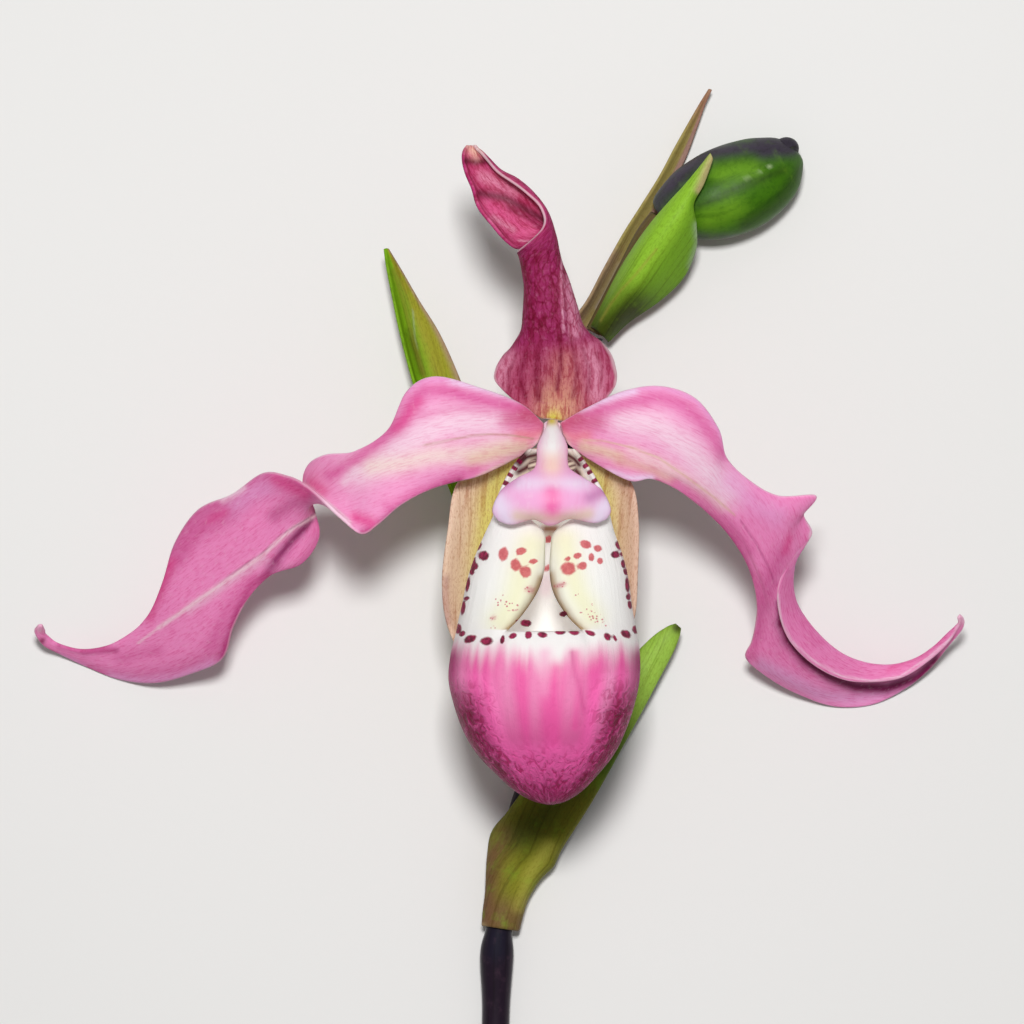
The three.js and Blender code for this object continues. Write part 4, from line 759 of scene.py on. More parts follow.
ROSE_SPOTS = [
    (-5.95, -15.6, 0.55, 0.78, -10), (-3.8, -15.25, 0.62, 0.42, 15), (-2.4, -16.5, 0.42, 0.32, 20),
    (-4.5, -16.95, 0.58, 0.72, 0), (-3.3, -17.85, 0.62, 0.72, 0), (4.15, -14.4, 0.7, 0.45, -20),
    (5.6, -14.9, 0.48, 0.38, -20), (3.15, -15.8, 0.48, 0.34, 20), (1.95, -16.15, 0.32, 0.28, 0),
    (4.85, -16.0, 0.34, 0.52, 0), (5.9, -16.45, 0.36, 0.38, 0), (2.05, -17.4, 0.8, 0.78, 0),
    (3.75, -17.05, 0.5, 0.46, 0),
]
FAINT_SPOTS = [
    (-2.9, -19.95, 0.5, 0.45, 0), (-7.8, -19.85, 0.25, 0.25, 0), (-6.2, -21.5, 0.9, 0.75, 0),
    (-5.0, -22.0, 0.7, 0.7, 0), (-7.25, -23.6, 0.34, 0.26, 0),
    (-7.25, -24.9, 0.32, 0.28, 0), (0.85, -19.5, 0.42, 0.34, 0), (1.5, -19.35, 0.38, 0.34, 0),
    (2.95, -20.6, 0.28, 0.26, 0), (5.0, -21.85, 0.22, 0.16, 0), (4.1, -22.35, 0.16, 0.14, 0),
    (3.6, -23.0, 0.28, 0.2, 0), (5.4, -23.5, 1.0, 0.7, -30), (6.5, -24.7, 0.28, 0.2, 0),
]
SLIT_SPOTS = [(-0.55, -13.55, 0.5, 0.5, 0), (-0.65, -15.2, 0.26, 0.45, 0), (-0.8, -17.2, 0.4, 0.7, -20)]
BASE_STRIPES = [
    (-4.1, -3.9, 0.24, 0.15, 52), (-4.7, -4.75, 0.26, 0.14, 56), (-5.25, -5.6, 0.24, 0.14, 58),
    (-5.9, -6.55, 0.26, 0.36, 0), (3.65, -3.6, 0.24, 0.15, -52), (4.25, -4.45, 0.26, 0.15, -54),
    (4.75, -5.25, 0.24, 0.14, -58), (5.4, -6.3, 0.26, 0.26, 0),
]

# ------------------------------------------------------------------ curves and placing


def place(points):
    """The true places, in metres, of points that are laid out as the eye sees them."""
    points = np.asarray(points, float)
    spread = (EYE_HEIGHT - points[..., 2]) / (EYE_HEIGHT - FLOWER_HEIGHT)
    true_x = EYE_X + (points[..., 0] - EYE_X) * spread - ORIGIN_X
    true_y = EYE_Y + (points[..., 1] - EYE_Y) * spread - ORIGIN_Y
    return np.stack([true_x, true_y, points[..., 2]], -1) * MM


def along(rows, t):
    """Rows of numbers at positions t, on the smooth curve through a list of such rows."""
    rows = np.asarray(rows, float)
    last = len(rows) - 1
    padded = np.concatenate([[2 * rows[0] - rows[1]], rows, [2 * rows[-1] - rows[-2]]])
    start = np.minimum(np.floor(t).astype(int), last - 1)
    f = (t - start).reshape((-1,) + (1,) * (rows.ndim - 1))
    a, b, c, d = (padded[start + k] for k in range(4))
    slope_b, slope_c = (c - a) / 2, (d - b) / 2
    square, cube = f ** 2, f ** 3
    return ((2 * cube - 3 * square + 1) * b + (cube - 2 * square + f) * slope_b
            + (3 * square - 2 * cube) * c + (cube - square) * slope_c)


def heading(stations, t):
    """The way from a little behind each position t on a curve to a little ahead of it."""
    ahead = along(stations, np.minimum(t + HEADING_REACH, len(stations) - 1))
    behind = along(stations, np.maximum(t - HEADING_REACH, 0))
    return (ahead - behind)[:, :3]


def unit(vectors):
    return vectors / np.linalg.norm(vectors, axis=1)[:, None]


def steps(stations, per_station):
    """Even positions along a list of stations, with the last station as the end."""
    return np.linspace(0, len(stations) - 1, (len(stations) - 1) * per_station + 1)


def spread_row(row, count):
    """A row of three points spread to count points on the parabola through them."""
    row = np.asarray(row, float)
    if len(row) == count:
        return row
    s = np.linspace(-1, 1, count)[:, None]
    a, b, c = row
    return b + s * (c - a) / 2 + s ** 2 * (c + a - 2 * b) / 2


def blade(net, columns, row_steps, column_count):
    """The fine grid of a blade from its net of rows."""
    rows = np.array([spread_row(row, columns) for row in net])
    across = along(rows.transpose(1, 0, 2), np.linspace(0, columns - 1, column_count))
    return along(across.transpose(1, 0, 2), steps(net, row_steps))


def scroll(stations, row_steps, column_count):
    """The fine grid of a blade that is rolled round its own length."""
    t = steps(stations, row_steps)
    x, y, z, width, depth, start, end = along(stations, t).T
    run = heading(stations, t)
    side = unit(np.stack([run[:, 1], -run[:, 0]], 1))
    part = np.linspace(0, 1, column_count)
    angle = np.radians(start[:, None] + (end - start)[:, None] * part)
    reach = width[:, None] * np.cos(angle)
    return np.stack([
        x[:, None] + side[:, :1] * reach,
        y[:, None] + side[:, 1:] * reach,
        z[:, None] + depth[:, None] * np.sin(angle),
    ], -1)


def limb(stations, row_steps, sides, reference=(0, 0, 1)):
    """The rings of a solid of oval sections along a curve."""
    t = steps(stations, row_steps)
    centre = along(stations, t)
    direction = unit(heading(stations, t))
    side = unit(np.cross(direction, reference))
    up = np.cross(side, direction)
    angle = np.linspace(0, 2 * np.pi, sides, endpoint=False)
    wide = centre[:, 3, None] * np.cos(angle)
    high = centre[:, 4, None] * np.sin(angle)
    return centre[:, None, :3] + wide[..., None] * side[:, None] + high[..., None] * up[:, None]


# ------------------------------------------------------------------ tints


def linear(colour):
    """A colour of 0 to 255 as the light it stands for, from 0 to 1."""
    value = np.array(colour, float) / 255
    return np.where(value <= 0.04045, value / 12.92, ((value + 0.055) / 1.055) ** 2.4)


def distance_to_line(points, line):
    """The distance in the eye's view from each point to a line of points."""
    line = np.array(line, float)
    if len(line) == 1:
        return np.linalg.norm(points - line[0], axis=-1)
    best = np.full(points.shape[:-1], np.inf)
    for start, end in zip(line[:-1], line[1:]):
        run = end - start
        share = np.clip(((points - start) @ run) / (run @ run), 0, 1)
        gap = np.linalg.norm(points - (start + share[..., None] * run), axis=-1)
        best = np.minimum(best, gap)
    return best


def ramp(value, low, high):
    """0 below low, 1 above high and smooth between them."""
    share = np.clip((value - low) / (high - low), 0, 1)
    return share * share * (3 - 2 * share)


class Layer:
    """A grid of points as the eye sees them, with a tint at each for the front and the back."""

    def __init__(self, grid, colour, stations=2):
        self.grid = np.array(grid, float)
        self.tint = np.ones(grid.shape) * linear(colour)
        self.back = None
        rows, columns = grid.shape[:2]
        self.station, self.across = np.meshgrid(
            np.linspace(0, stations - 1, rows), np.linspace(0, 1, columns), indexing="ij")
        self.x, self.y = self.grid[..., 0], self.grid[..., 1]
        self.wrinkle, self.glow, self.plain_rim = np.zeros((3, rows, columns))
        self.to_line = np.full((rows, columns), FAR)
        self.marks = np.full(grid.shape, FAR)
        self.back_marks = np.full(grid.shape, FAR)
        self.grain = None

    def wash(self, colour, share, back=False):
        """Mixes in a colour by a share from 0 to 1 at each point."""
        share = np.clip(share, 0, 1)[..., None]
        if back:
            self.back = self.back + share * (linear(colour) - self.back)
        else:
            self.tint = self.tint + share * (linear(colour) - self.tint)

    def stroke(self, colour, width, strength, *line, where=1.0, back=False):
        """A soft stroke of a colour along a line."""
        reach = distance_to_line(self.grid[..., :2], line)
        self.wash(colour, strength * np.exp(-(reach / width) ** 2) * where, back)

    def paint(self, strokes, where=1.0, back=False):
        """Strokes one over the other, in their order."""
        for colour, width, strength, *line in strokes:
            self.stroke(colour, width, strength, *line, where=where, back=back)

    def emboss(self, width, height, *line, where=1.0):
        """Raises or sinks the surface along a line."""
        reach = distance_to_line(self.grid[..., :2], line)
        self.grid[..., 2] += height * np.exp(-(reach / width) ** 2) * where

    def spots(self, kind, where, spots, back=False):
        """Spots as a distance field that is 1 at each spot's edge."""
        field = self.back_marks if back else self.marks
        for x, y, length, width, turn in spots:
            c, s = math.cos(math.radians(turn)), math.sin(math.radians(turn))
            u = (c * (self.x - x) + s * (self.y - y)) / length
            v = (-s * (self.x - x) + c * (self.y - y)) / width
            reach = np.where(where, np.hypot(u, v), FAR)
            field[..., kind] = np.minimum(field[..., kind], reach)


# ------------------------------------------------------------------ meshes


def grid_cells(rows, columns, closed=False, keep=None):
    """The four corners of each cell of a grid, or of those cells that keep marks."""
    cells = columns if closed else columns - 1
    i, j = np.meshgrid(np.arange(rows - 1), np.arange(cells), indexing="ij")
    if keep is not None:
        i, j = i[keep], j[keep]
    i, j = i.ravel(), j.ravel()
    after = (j + 1) % columns
    row, next_row = i * columns, (i + 1) * columns
    return np.stack([row + j, row + after, next_row + after, next_row + j], 1)


def point_normals(points, faces):
    """The normal at each point, from the four-cornered faces round it."""
    across = points[faces[:, 2]] - points[faces[:, 0]]
    other = points[faces[:, 3]] - points[faces[:, 1]]
    face_normals = np.cross(across, other)
    normals = np.zeros_like(points)
    for corner in range(4):
        np.add.at(normals, faces[:, corner], face_normals)
    return normals / np.maximum(np.linalg.norm(normals, axis=1), 1e-12)[:, None]


def lengths_along(points):
    """The running length along the first axis of a grid of points."""
    runs = np.linalg.norm(np.diff(points, axis=0), axis=-1)
    return np.concatenate([np.zeros((1,) + runs.shape[1:]), np.cumsum(runs, axis=0)])


def grain_of(layer):
    """Each point's place in mm in the tissue's own grain: across it, round it, and along it."""
    if layer.grain is not None:
        return layer.grain.reshape(-1, 3)
    grid = layer.grid
    across = lengths_along(grid.transpose(1, 0, 2)).T
    middle = grid.shape[1] // 2
    length = np.repeat(lengths_along(grid)[:, middle:middle + 1], grid.shape[1], 1)
    across -= across[:, middle:middle + 1]
    return np.stack([across, np.zeros_like(across), length], -1).reshape(-1, 3)


def round_grain(layer, radius):
    """The grain of a form that closes round itself, without a seam."""
    rows, columns = layer.grid.shape[:2]
    angle = np.linspace(0, 2 * np.pi, columns, endpoint=False)
    length = lengths_along(layer.grid)[:, columns // 2]
    layer.grain = np.stack([
        np.tile(radius * np.cos(angle), (rows, 1)),
        np.tile(radius * np.sin(angle), (rows, 1)),
        np.repeat(length[:, None], columns, 1),
    ], -1)


def make_object(name, points, faces, attributes, material, node):
    """A visible piece that stands in for a node of the solids."""
    mesh = bpy.data.meshes.new(name)
    mesh.from_pydata(points.tolist(), [], faces)
    for key, (kind, values) in attributes.items():
        field = "color" if kind == "FLOAT_COLOR" else "vector"
        attribute = mesh.attributes.new(key, kind, "POINT")
        attribute.data.foreach_set(field, np.ascontiguousarray(values, np.float32).ravel())
    mesh.shade_smooth()
    mesh.materials.append(material)
    piece = bpy.data.objects.new(name, mesh)
    bpy.context.scene.collection.objects.link(piece)
    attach(piece, "root")
    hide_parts(node)


def rgba(tint):
    """Tints with an opaque fourth channel."""
    return np.concatenate([tint, np.ones((len(tint), 1))], 1)


def sheet(name, layer, thickness, material, node, closed=False, keep=None, toe=False):
    """A closed sheet of even thickness with round margins on a layer's grid."""
    rows, columns = layer.grid.shape[:2]
    faces = grid_cells(rows, columns, closed, keep)
    points = place(layer.grid).reshape(-1, 3)
    normals = point_normals(points, faces)
    used = np.unique(faces)
    count = len(used)
    number_of = np.full(rows * columns, -1)
    number_of[used] = np.arange(count)
    faces = number_of[faces]

    corners = np.concatenate([faces[:, [k, (k + 1) % 4]] for k in range(4)])
    keys = corners[:, 0] * count + corners[:, 1]
    rim = corners[~np.isin(keys, corners[:, 1] * count + corners[:, 0])]
    last_ring = number_of[(rows - 1) * columns + np.arange(columns)]
    if toe:
        rim = rim[~np.isin(rim, last_ring).all(1)]
    points, normals = points[used], normals[used]
    tree = kdtree.KDTree(len(rim))
    for k, rim_point in enumerate(points[rim[:, 0]]):
        tree.insert(rim_point, k)
    tree.balance()
    to_rim = np.array([tree.find(p)[2] for p in points]) / MM

    inward = np.clip(to_rim / (thickness * RIM_ROUNDING), 0, 1)
    half = thickness / 2 * np.sqrt(RIM_SHARE + (1 - RIM_SHARE) * (1 - (1 - inward) ** 2)) * MM
    front = points + normals * half[:, None]
    back = points - normals * half[:, None]

    polygons = faces.tolist() + (faces[:, ::-1] + count).tolist()
    polygons += [[b, a, a + count, b + count] for a, b in rim.tolist()]
    if toe:
        polygons += [last_ring.tolist(), (last_ring[::-1] + count).tolist()]

    def of_used(values):
        return values.reshape((rows * columns,) + values.shape[2:])[used]

    tints = [of_used(layer.tint), of_used(layer.tint if layer.back is None else layer.back)]
    marks = [of_used(layer.marks), of_used(layer.back_marks)]
    pale_at = np.minimum(to_rim + FAR * of_used(layer.plain_rim), of_used(layer.to_line))
    glows = np.zeros(count), of_used(layer.glow)
    margins = [np.stack([pale_at, of_used(layer.wrinkle), glow], 1) for glow in glows]
    attributes = {
        "tint": ("FLOAT_COLOR", rgba(np.concatenate(tints))),
        "grain": ("FLOAT_VECTOR", np.tile(grain_of(layer)[used], (2, 1))),
        "margin": ("FLOAT_VECTOR", np.concatenate(margins)),
        "marks": ("FLOAT_VECTOR", np.concatenate(marks)),
    }
    make_object(name, np.concatenate([front, back]), polygons, attributes, material, node)


def solid(name, layer, material, node):
    """A solid on a layer of rings, with a cap at each end."""
    rows, columns = layer.grid.shape[:2]
    faces = grid_cells(rows, columns, closed=True)[:, ::-1]
    polygons = faces.tolist()
    polygons.append(list(range(columns)))
    polygons.append(list(range(rows * columns - 1, (rows - 1) * columns - 1, -1)))
    round_grain(layer, ROUND_GRAIN)
    attributes = {
        "tint": ("FLOAT_COLOR", rgba(layer.tint.reshape(-1, 3))),
        "grain": ("FLOAT_VECTOR", grain_of(layer)),
        "margin": ("FLOAT_VECTOR", np.tile((FAR, 0.0, 0.0), (rows * columns, 1))),
        "marks": ("FLOAT_VECTOR", np.full((rows * columns, 3), FAR)),
    }
    make_object(name, place(layer.grid).reshape(-1, 3), polygons, attributes, material, node)


# ------------------------------------------------------------------ materials


class Shader:
    """A material that is built from nodes, with short names for those used here."""

    def __init__(self, name):
        self.material = bpy.data.materials.new(name)
        self.material.use_nodes = True
        self.tree = self.material.node_tree
        self.tree.nodes.clear()

    def node(self, kind, inputs=None, **settings):
        made = self.tree.nodes.new(kind)
        for key, value in settings.items():
            setattr(made, key, value)
        for key, value in (inputs or {}).items():
            if isinstance(value, bpy.types.NodeSocket):
                self.tree.links.new(value, made.inputs[key])
            else:
                made.inputs[key].default_value = value
        return made

    def attribute(self, name, output="Vector"):
        made = self.node("ShaderNodeAttribute", attribute_name=name, attribute_type="GEOMETRY")
        return made.outputs[output]

    def scaled(self, vector, scale):
        return self.node("ShaderNodeVectorMath", {0: vector, 1: scale}, operation="MULTIPLY").outputs[0]

    def noise(self, vector, scale=1.0, detail=2.0, roughness=0.5, distortion=0.0):
        """A cloud of values round a half."""
        inputs = {"Vector": vector, "Scale": scale, "Detail": detail, "Roughness": roughness,
                  "Distortion": distortion}
        return self.node("ShaderNodeTexNoise", inputs).outputs["Fac"]

    def net(self, vector):
        """The distance to the lines of an uneven net, 0 on its lines."""
        wander = self.node("ShaderNodeTexNoise", {"Vector": vector, "Scale": 1.3}).outputs["Color"]
        inputs = {0: wander, 1: (0.9, 0.9, 0.9), 2: vector}
        bent = self.node("ShaderNodeVectorMath", inputs, operation="MULTIPLY_ADD").outputs[0]
        inputs = {"Vector": bent, "Scale": 1.0}
        return self.node("ShaderNodeTexVoronoi", inputs, feature="DISTANCE_TO_EDGE").outputs["Distance"]

    def between(self, value, low, high, to_low=0.0, to_high=1.0):
        """value mapped smoothly from low..high to the range to_low..to_high."""
        inputs = {"Value": value, "From Min": low, "From Max": high, "To Min": to_low, "To Max": to_high}
        return self.node("ShaderNodeMapRange", inputs, interpolation_type="SMOOTHSTEP").outputs[0]

    def math(self, operation, a, b=0.0, c=0.0):
        return self.node("ShaderNodeMath", {0: a, 1: b, 2: c}, operation=operation).outputs[0]

    def mix(self, share, a, b, blend="MIX"):
        made = self.node("ShaderNodeMix", {"Factor": share}, data_type="RGBA", blend_type=blend)
        for socket, value in (("A_Color", a), ("B_Color", b)):
            target = next(i for i in made.inputs if i.identifier == socket)
            if isinstance(value, bpy.types.NodeSocket):
                self.tree.links.new(value, target)
            else:
                target.default_value = value
        return next(o for o in made.outputs if o.identifier == "Result_Color")

    def finish(self, color, height, roughness, bump=0.3, bump_distance=0.1, translucent=0.0,
               specular=0.2, sheen=0.0, glow=0.0):
        normal = self.node("ShaderNodeBump", {
            "Strength": bump, "Distance": bump_distance * MM, "Height": height}).outputs[0]
        surface = self.node("ShaderNodeBsdfPrincipled", {
            "Base Color": color, "Roughness": roughness, "Normal": normal,
            "Sheen Weight": sheen, "Sheen Roughness": 0.4, "Specular IOR Level": specular,
            "Emission Color": color, "Emission Strength": glow,
        }).outputs[0]
        if translucent:
            through = self.node("ShaderNodeBsdfTranslucent", {"Color": color}).outputs[0]
            surface = self.node("ShaderNodeMixShader", {0: translucent, 1: surface, 2: through}).outputs[0]
        self.node("ShaderNodeOutputMaterial", {"Surface": surface})
        return self.material


def srgb(colour):
    """A colour of 0 to 255 as a node's socket takes it."""
    return (*linear(colour), 1.0)


def tissue(name, vein, vein_share=0.4, vein_across=2.2, vein_along=0.12, vein_range=(0.5, 0.68),
           fleck_share=0.0, fleck_along=1.8, fleck_gain=0.0,
           mottle=WHITE, mottle_share=0.2, mottle_scale=0.9,
           pale_margin=None, margin_share=0.35, margin_width=0.27, net_share=0.0,
           relief=0.3, relief_size=0.12, roughness=0.5, translucent=0.12, specular=0.1, sheen=0.0,
           spotted=False):
    """Plant tissue: its painted tint under darker lengthwise veins, flecks, a mottle and wrinkles, with
    painted shade and highlights on the wrinkles of a spotted one.
    Scales along and across the grain are in cells per mm."""
    s = Shader(name)
    grain = s.attribute("grain")
    color = s.attribute("tint", "Color")
    to_rim, wrinkled, inside = s.node("ShaderNodeSeparateXYZ", {"Vector": s.attribute("margin")}).outputs
    along_veins = s.scaled(grain, (vein_across, vein_across, vein_along))
    lines = s.noise(along_veins, detail=4.0, roughness=0.6, distortion=0.4)
    cells = s.noise(s.scaled(grain, (1.0, 1.0, 0.8)), mottle_scale, detail=4.0, roughness=0.65)
    fine = s.noise(s.scaled(grain, (7.0, 7.0, 5.0)))
    crumple = s.noise(s.scaled(grain, (0.9, 0.9, 0.8)), detail=3.0, roughness=0.6, distortion=1.2)
    folds = s.math("MULTIPLY", wrinkled, crumple)
    veined = s.between(lines, *vein_range, 0.0, vein_share)
    if spotted:
        veined = s.math("MULTIPLY", veined, wrinkled)
        color = crease_shade_and_highlights(s, color, crumple, wrinkled)
    color = s.mix(veined, color, srgb(vein), "MULTIPLY")
    if fleck_share:
        along_flecks = s.scaled(grain, (4.5, 4.5, fleck_along))
        flecks = s.noise(along_flecks, detail=3.0, roughness=0.7, distortion=0.3)
        flecked = s.between(flecks, 0.46, 0.66, 0.0, fleck_share)
        if fleck_gain:
            flecked = s.math("MULTIPLY", flecked, s.math("MULTIPLY_ADD", wrinkled, fleck_gain, 1.0))
        color = s.mix(flecked, color, srgb(vein), "MULTIPLY")
    if mottle_share:
        color = s.mix(s.between(cells, 0.5, 0.75, 0.0, mottle_share), color, srgb(mottle))
    height = s.math("MULTIPLY_ADD", folds, 4.0, s.math("MULTIPLY_ADD", fine, 0.25, lines))
    if net_share:
        net = s.net(s.scaled(grain, (1.1, 1.1, 0.6)))
        lined = s.math("MULTIPLY", wrinkled, s.between(net, 0.0, 0.16, net_share, 0.0))
        color = s.mix(lined, color, srgb(vein), "MULTIPLY")
        height = s.math("MULTIPLY_ADD", lined, -0.8, height)
    if pale_margin:
        color = s.mix(s.between(to_rim, 0.02, margin_width, margin_share, 0.0), color, srgb(pale_margin))
    if spotted:
        color = spots_over(s, color, grain)
        translucent = s.between(wrinkled, 0.0, 0.3, translucent, 0.04)
    rough = s.between(cells, 0.3, 0.7, roughness - 0.06, roughness + 0.08)
    # painted glow on the lip's inside face
    glow = s.math("MULTIPLY", inside, PAINTED_GLOW) if spotted else 0.0
    return s.finish(color, height, rough, relief, relief_size, translucent, specular, sheen, glow)


def crease_shade_and_highlights(s, color, crumple, wrinkled):
    """Painted shade in the hollows and painted highlights on the crests, a millimetre or so apart, where the
    surface is wrinkled.
    """
    for low, high, from_share, to_share, colour, blend in (
            (0.38, 0.49, 0.8, 0.0, CREASE_SHADE, "MULTIPLY"), (0.52, 0.64, 0.0, 0.5, CREASE_HIGHLIGHT, "MIX")):
        share = s.math("MULTIPLY", s.between(crumple, low, high, from_share, to_share), wrinkled)
        color = s.mix(share, color, srgb(colour), blend)
    return color


def spots_over(s, color, grain):
    """Maroon, rose and pale spots where the marks' fields fall under 1, with soft uneven edges."""
    apart = s.node("ShaderNodeSeparateXYZ", {"Vector": s.attribute("marks")}).outputs
    waver = s.between(s.noise(grain, 1.3), 0.2, 0.8, -0.12, 0.12)
    inner = s.noise(grain, 2.0, detail=3.0, roughness=0.6)
    dots = s.node("ShaderNodeTexVoronoi", {"Vector": grain, "Scale": 2.6}).outputs["Distance"]
    freckles = s.between(dots, 0.26, 0.4, 0.85, 0.0)
    for field, dark, light, strength in (
            (apart[2], FAINT_SPOT, FAINT_SPOT, freckles),
            (apart[1], ROSE_SPOT, ROSE_SPOT_PALE, 0.92),
            (apart[0], WINE, WINE_PALE, 0.97)):
        edge = s.math("ADD", field, waver)
        shade = s.mix(s.between(inner, 0.4, 0.62), srgb(dark), srgb(light))
        color = s.mix(s.between(edge, 0.84, 1.3, strength, 0.0), color, shade)
    return color


# ------------------------------------------------------------------ materials of the pieces


def petal_skin():
    return tissue("petal_skin", vein=PETAL_VEIN, vein_share=0.3, vein_across=3.4, vein_along=0.3,
                  fleck_share=0.32, fleck_along=0.7, fleck_gain=2.6, mottle=PETAL_PALE,
                  mottle_share=0.15, mottle_scale=1.6, pale_margin=PETAL_RIM, relief=0.35,
                  roughness=0.55, translucent=0.15)


def dorsal_skin():
    return tissue("dorsal_skin", vein=DORSAL_VEIN, vein_share=0.7, vein_across=1.9, vein_along=0.4,
                  vein_range=(0.46, 0.62), fleck_share=0.5, mottle=PALE_ROSE, mottle_share=0.16,
                  mottle_scale=1.6, pale_margin=PALE_RIM, margin_share=0.5, margin_width=0.2,
                  net_share=0.8, relief=0.5, translucent=0.08)


def synsepal_skin():
    return tissue("synsepal_skin", vein=SEPAL_VEIN, vein_share=0.6, vein_across=1.1, vein_along=0.06,
                  fleck_share=0.5, mottle=CREAM, mottle_share=0.15, relief=0.25)


def lip_skin():
    return tissue("lip_skin", vein=POUCH_PALE, vein_share=0.3, vein_across=1.2, vein_along=0.1,
                  mottle_share=0.0, relief=0.7, relief_size=0.2, roughness=0.42, translucent=0.32,
                  specular=0.08, spotted=True)


def shield_skin():
    return tissue("shield_skin", vein=BLUSH, vein_share=0.2, vein_across=1.4, vein_along=0.4,
                  mottle_share=0.15, relief=0.12, roughness=0.38, translucent=0.2, specular=0.2)


def leaf_skin(name, vein, mottle):
    return tissue(name, vein=vein, vein_share=0.5, vein_across=1.8, vein_along=0.05,
                  fleck_share=0.35, mottle=mottle, mottle_share=0.3, mottle_scale=0.5, relief=0.35)


def bud_skin():
    return tissue("bud_skin", vein=DEEP_GREEN, vein_share=0.5, vein_across=0.9, fleck_share=0.3,
                  mottle=LIME, mottle_scale=0.4, relief=0.5, roughness=0.45, translucent=0.0,
                  specular=0.16)


def stem_skin():
    return tissue("stem_skin", vein=STEM_VEIN, vein_share=0.5, vein_across=1.6, vein_along=0.08,
                  mottle=STEM_PALE, mottle_share=0.25, mottle_scale=0.7, relief=0.4, roughness=0.55,
                  translucent=0.0, specular=0.15, sheen=0.25)


# ------------------------------------------------------------------ the petals


def petal_left():
    layer = Layer(blade(PETAL_LEFT, columns=7, row_steps=10, column_count=61), PETAL, len(PETAL_LEFT))
    root = 1 - ramp(layer.station, 8.4, 9.8)
    hang = 1 - root
    layer.wrinkle = HANGING_WRINKLE * hang
    layer.paint(LEFT_ROOT_STROKES, where=root)
    layer.wash(PETAL_VIVID, 0.8 * hang)
    to_margin = 0.5 - np.abs(layer.across - 0.5)
    layer.wash(PETAL_DARK, 0.5 * hang * (1 - ramp(to_margin, 0.0, 0.22)))
    layer.paint(LEFT_HANGING_STROKES, where=hang)
    layer.emboss(0.5, 0.14, (-29.6, -10.2), (-36, -15.5), (-45.2, -22), (-51, -26.2), where=hang)
    layer.emboss(0.7, -0.3, (-30.4, -11.5), (-33.8, -15.4), where=hang)
    sheet("left_petal", layer, PETAL_THICKNESS, petal_skin(), "petal_left")


def petal_right():
    layer = Layer(blade(PETAL_RIGHT, columns=5, row_steps=10, column_count=61), PETAL, len(PETAL_RIGHT))
    folded = ramp(layer.station, 8.6, 9.6)
    flap = folded * (1 - ramp(layer.across, 0.2, 0.27))
    main = 1 - flap
    layer.wrinkle = HANGING_WRINKLE * folded
    layer.wash(PETAL_VIVID, 0.8 * ramp(layer.station, 5.6, 7.6) * main)
    layer.paint(RIGHT_STROKES, where=main)
    layer.paint(RIGHT_UNDER_STROKES, where=folded * main)
    layer.wash(PETAL_FLAP, flap * 0.95)
    layer.stroke(PETAL_PALE, 0.22, 0.7, (31.5, -10.2), (31.8, -11.2), (32.4, -12.4), (32.1, -13.2))
    layer.paint(RIGHT_FLAP_STROKES, where=flap)
    layer.stroke(PETAL_RIM, 0.3, 0.4, (33.2, -8.2))
    layer.stroke(TIP_PINK, 0.7, 0.8, (51.0, -23.6))
    sheet("right_petal", layer, PETAL_THICKNESS, petal_skin(), "petal_right")


# ------------------------------------------------------------------ the sepals


def dorsal_sepal():
    layer = Layer(scroll(DORSAL_SEPAL, row_steps=10, column_count=97), NECK, len(DORSAL_SEPAL))
    base = 1 - ramp(layer.station, 3.0, 5.6)
    trough = ramp(layer.station, 10.6, 12.4)
    layer.back = layer.tint.copy()
    for back in (False, True):
        layer.wash(BASE_PINK, base * 0.9, back)
        layer.paint(DORSAL_BASE_STROKES, where=base, back=back)
        layer.paint(DORSAL_VEINS, where=VEIN_STRENGTH, back=back)
        layer.paint(DORSAL_BLOTCHES, back=back)
        layer.paint(DORSAL_NECK_STROKES, where=1 - trough, back=back)
    layer.wrinkle = 0.9 * ramp(layer.station, 3.6, 6.0) * (1 - 0.7 * trough)
    for line in DISC_EDGES:
        to_turn = DISC_EDGE_SHARPNESS * distance_to_line(layer.grid[..., :2], line)
        layer.to_line = np.minimum(layer.to_line, to_turn)
    layer.plain_rim = trough * (layer.across < 0.5)
    # A painted highlight along the raised edge of the tube's overlap.
    layer.stroke(OVERLAP_PALE, 0.1, 0.6, *DORSAL_OVERLAP, back=True)
    layer.emboss(0.25, 0.12, *DORSAL_OVERLAP)

    layer.wash(VIVID_MAGENTA, trough * 0.85, True)
    layer.wash(TROUGH_ROSE, trough * 0.95)
    layer.paint(DORSAL_TROUGH_STROKES, where=trough)
    layer.paint(DORSAL_TROUGH_STROKES, where=THROUGH_SHARE * trough, back=True)
    layer.stroke(OVERLAP_PALE, 0.12, 0.6, *DORSAL_MOUTH)
    layer.stroke(TIP_CREAM, 0.9, 0.8, (-9.9, 35.6), (-9.5, 34.9), where=trough, back=True)
    sheet("dorsal_sepal_piece", layer, SEPAL_THICKNESS, dorsal_skin(), "dorsal_sepal")


def synsepal():
    layer = Layer(blade(SYNSEPAL, columns=9, row_steps=12, column_count=65), SEPAL_CREAM, len(SYNSEPAL))
    side = np.abs(layer.across - 0.5) * 2
    layer.wash(SEPAL_YELLOW, 0.9 * (1 - ramp(side, 0.6, 0.86)))
    layer.wash(SEPAL_PINK, 0.8 * ramp(side, 0.7, 0.98) * (layer.x > 0))
    layer.wash(SEPAL_TAN, 0.9 * ramp(side, 0.66, 0.97) * (layer.x < 0))
    layer.paint(SYNSEPAL_STROKES)
    sheet("synsepal_piece", layer, SEPAL_THICKNESS, synsepal_skin(), "synsepal")


# ------------------------------------------------------------------ the lip


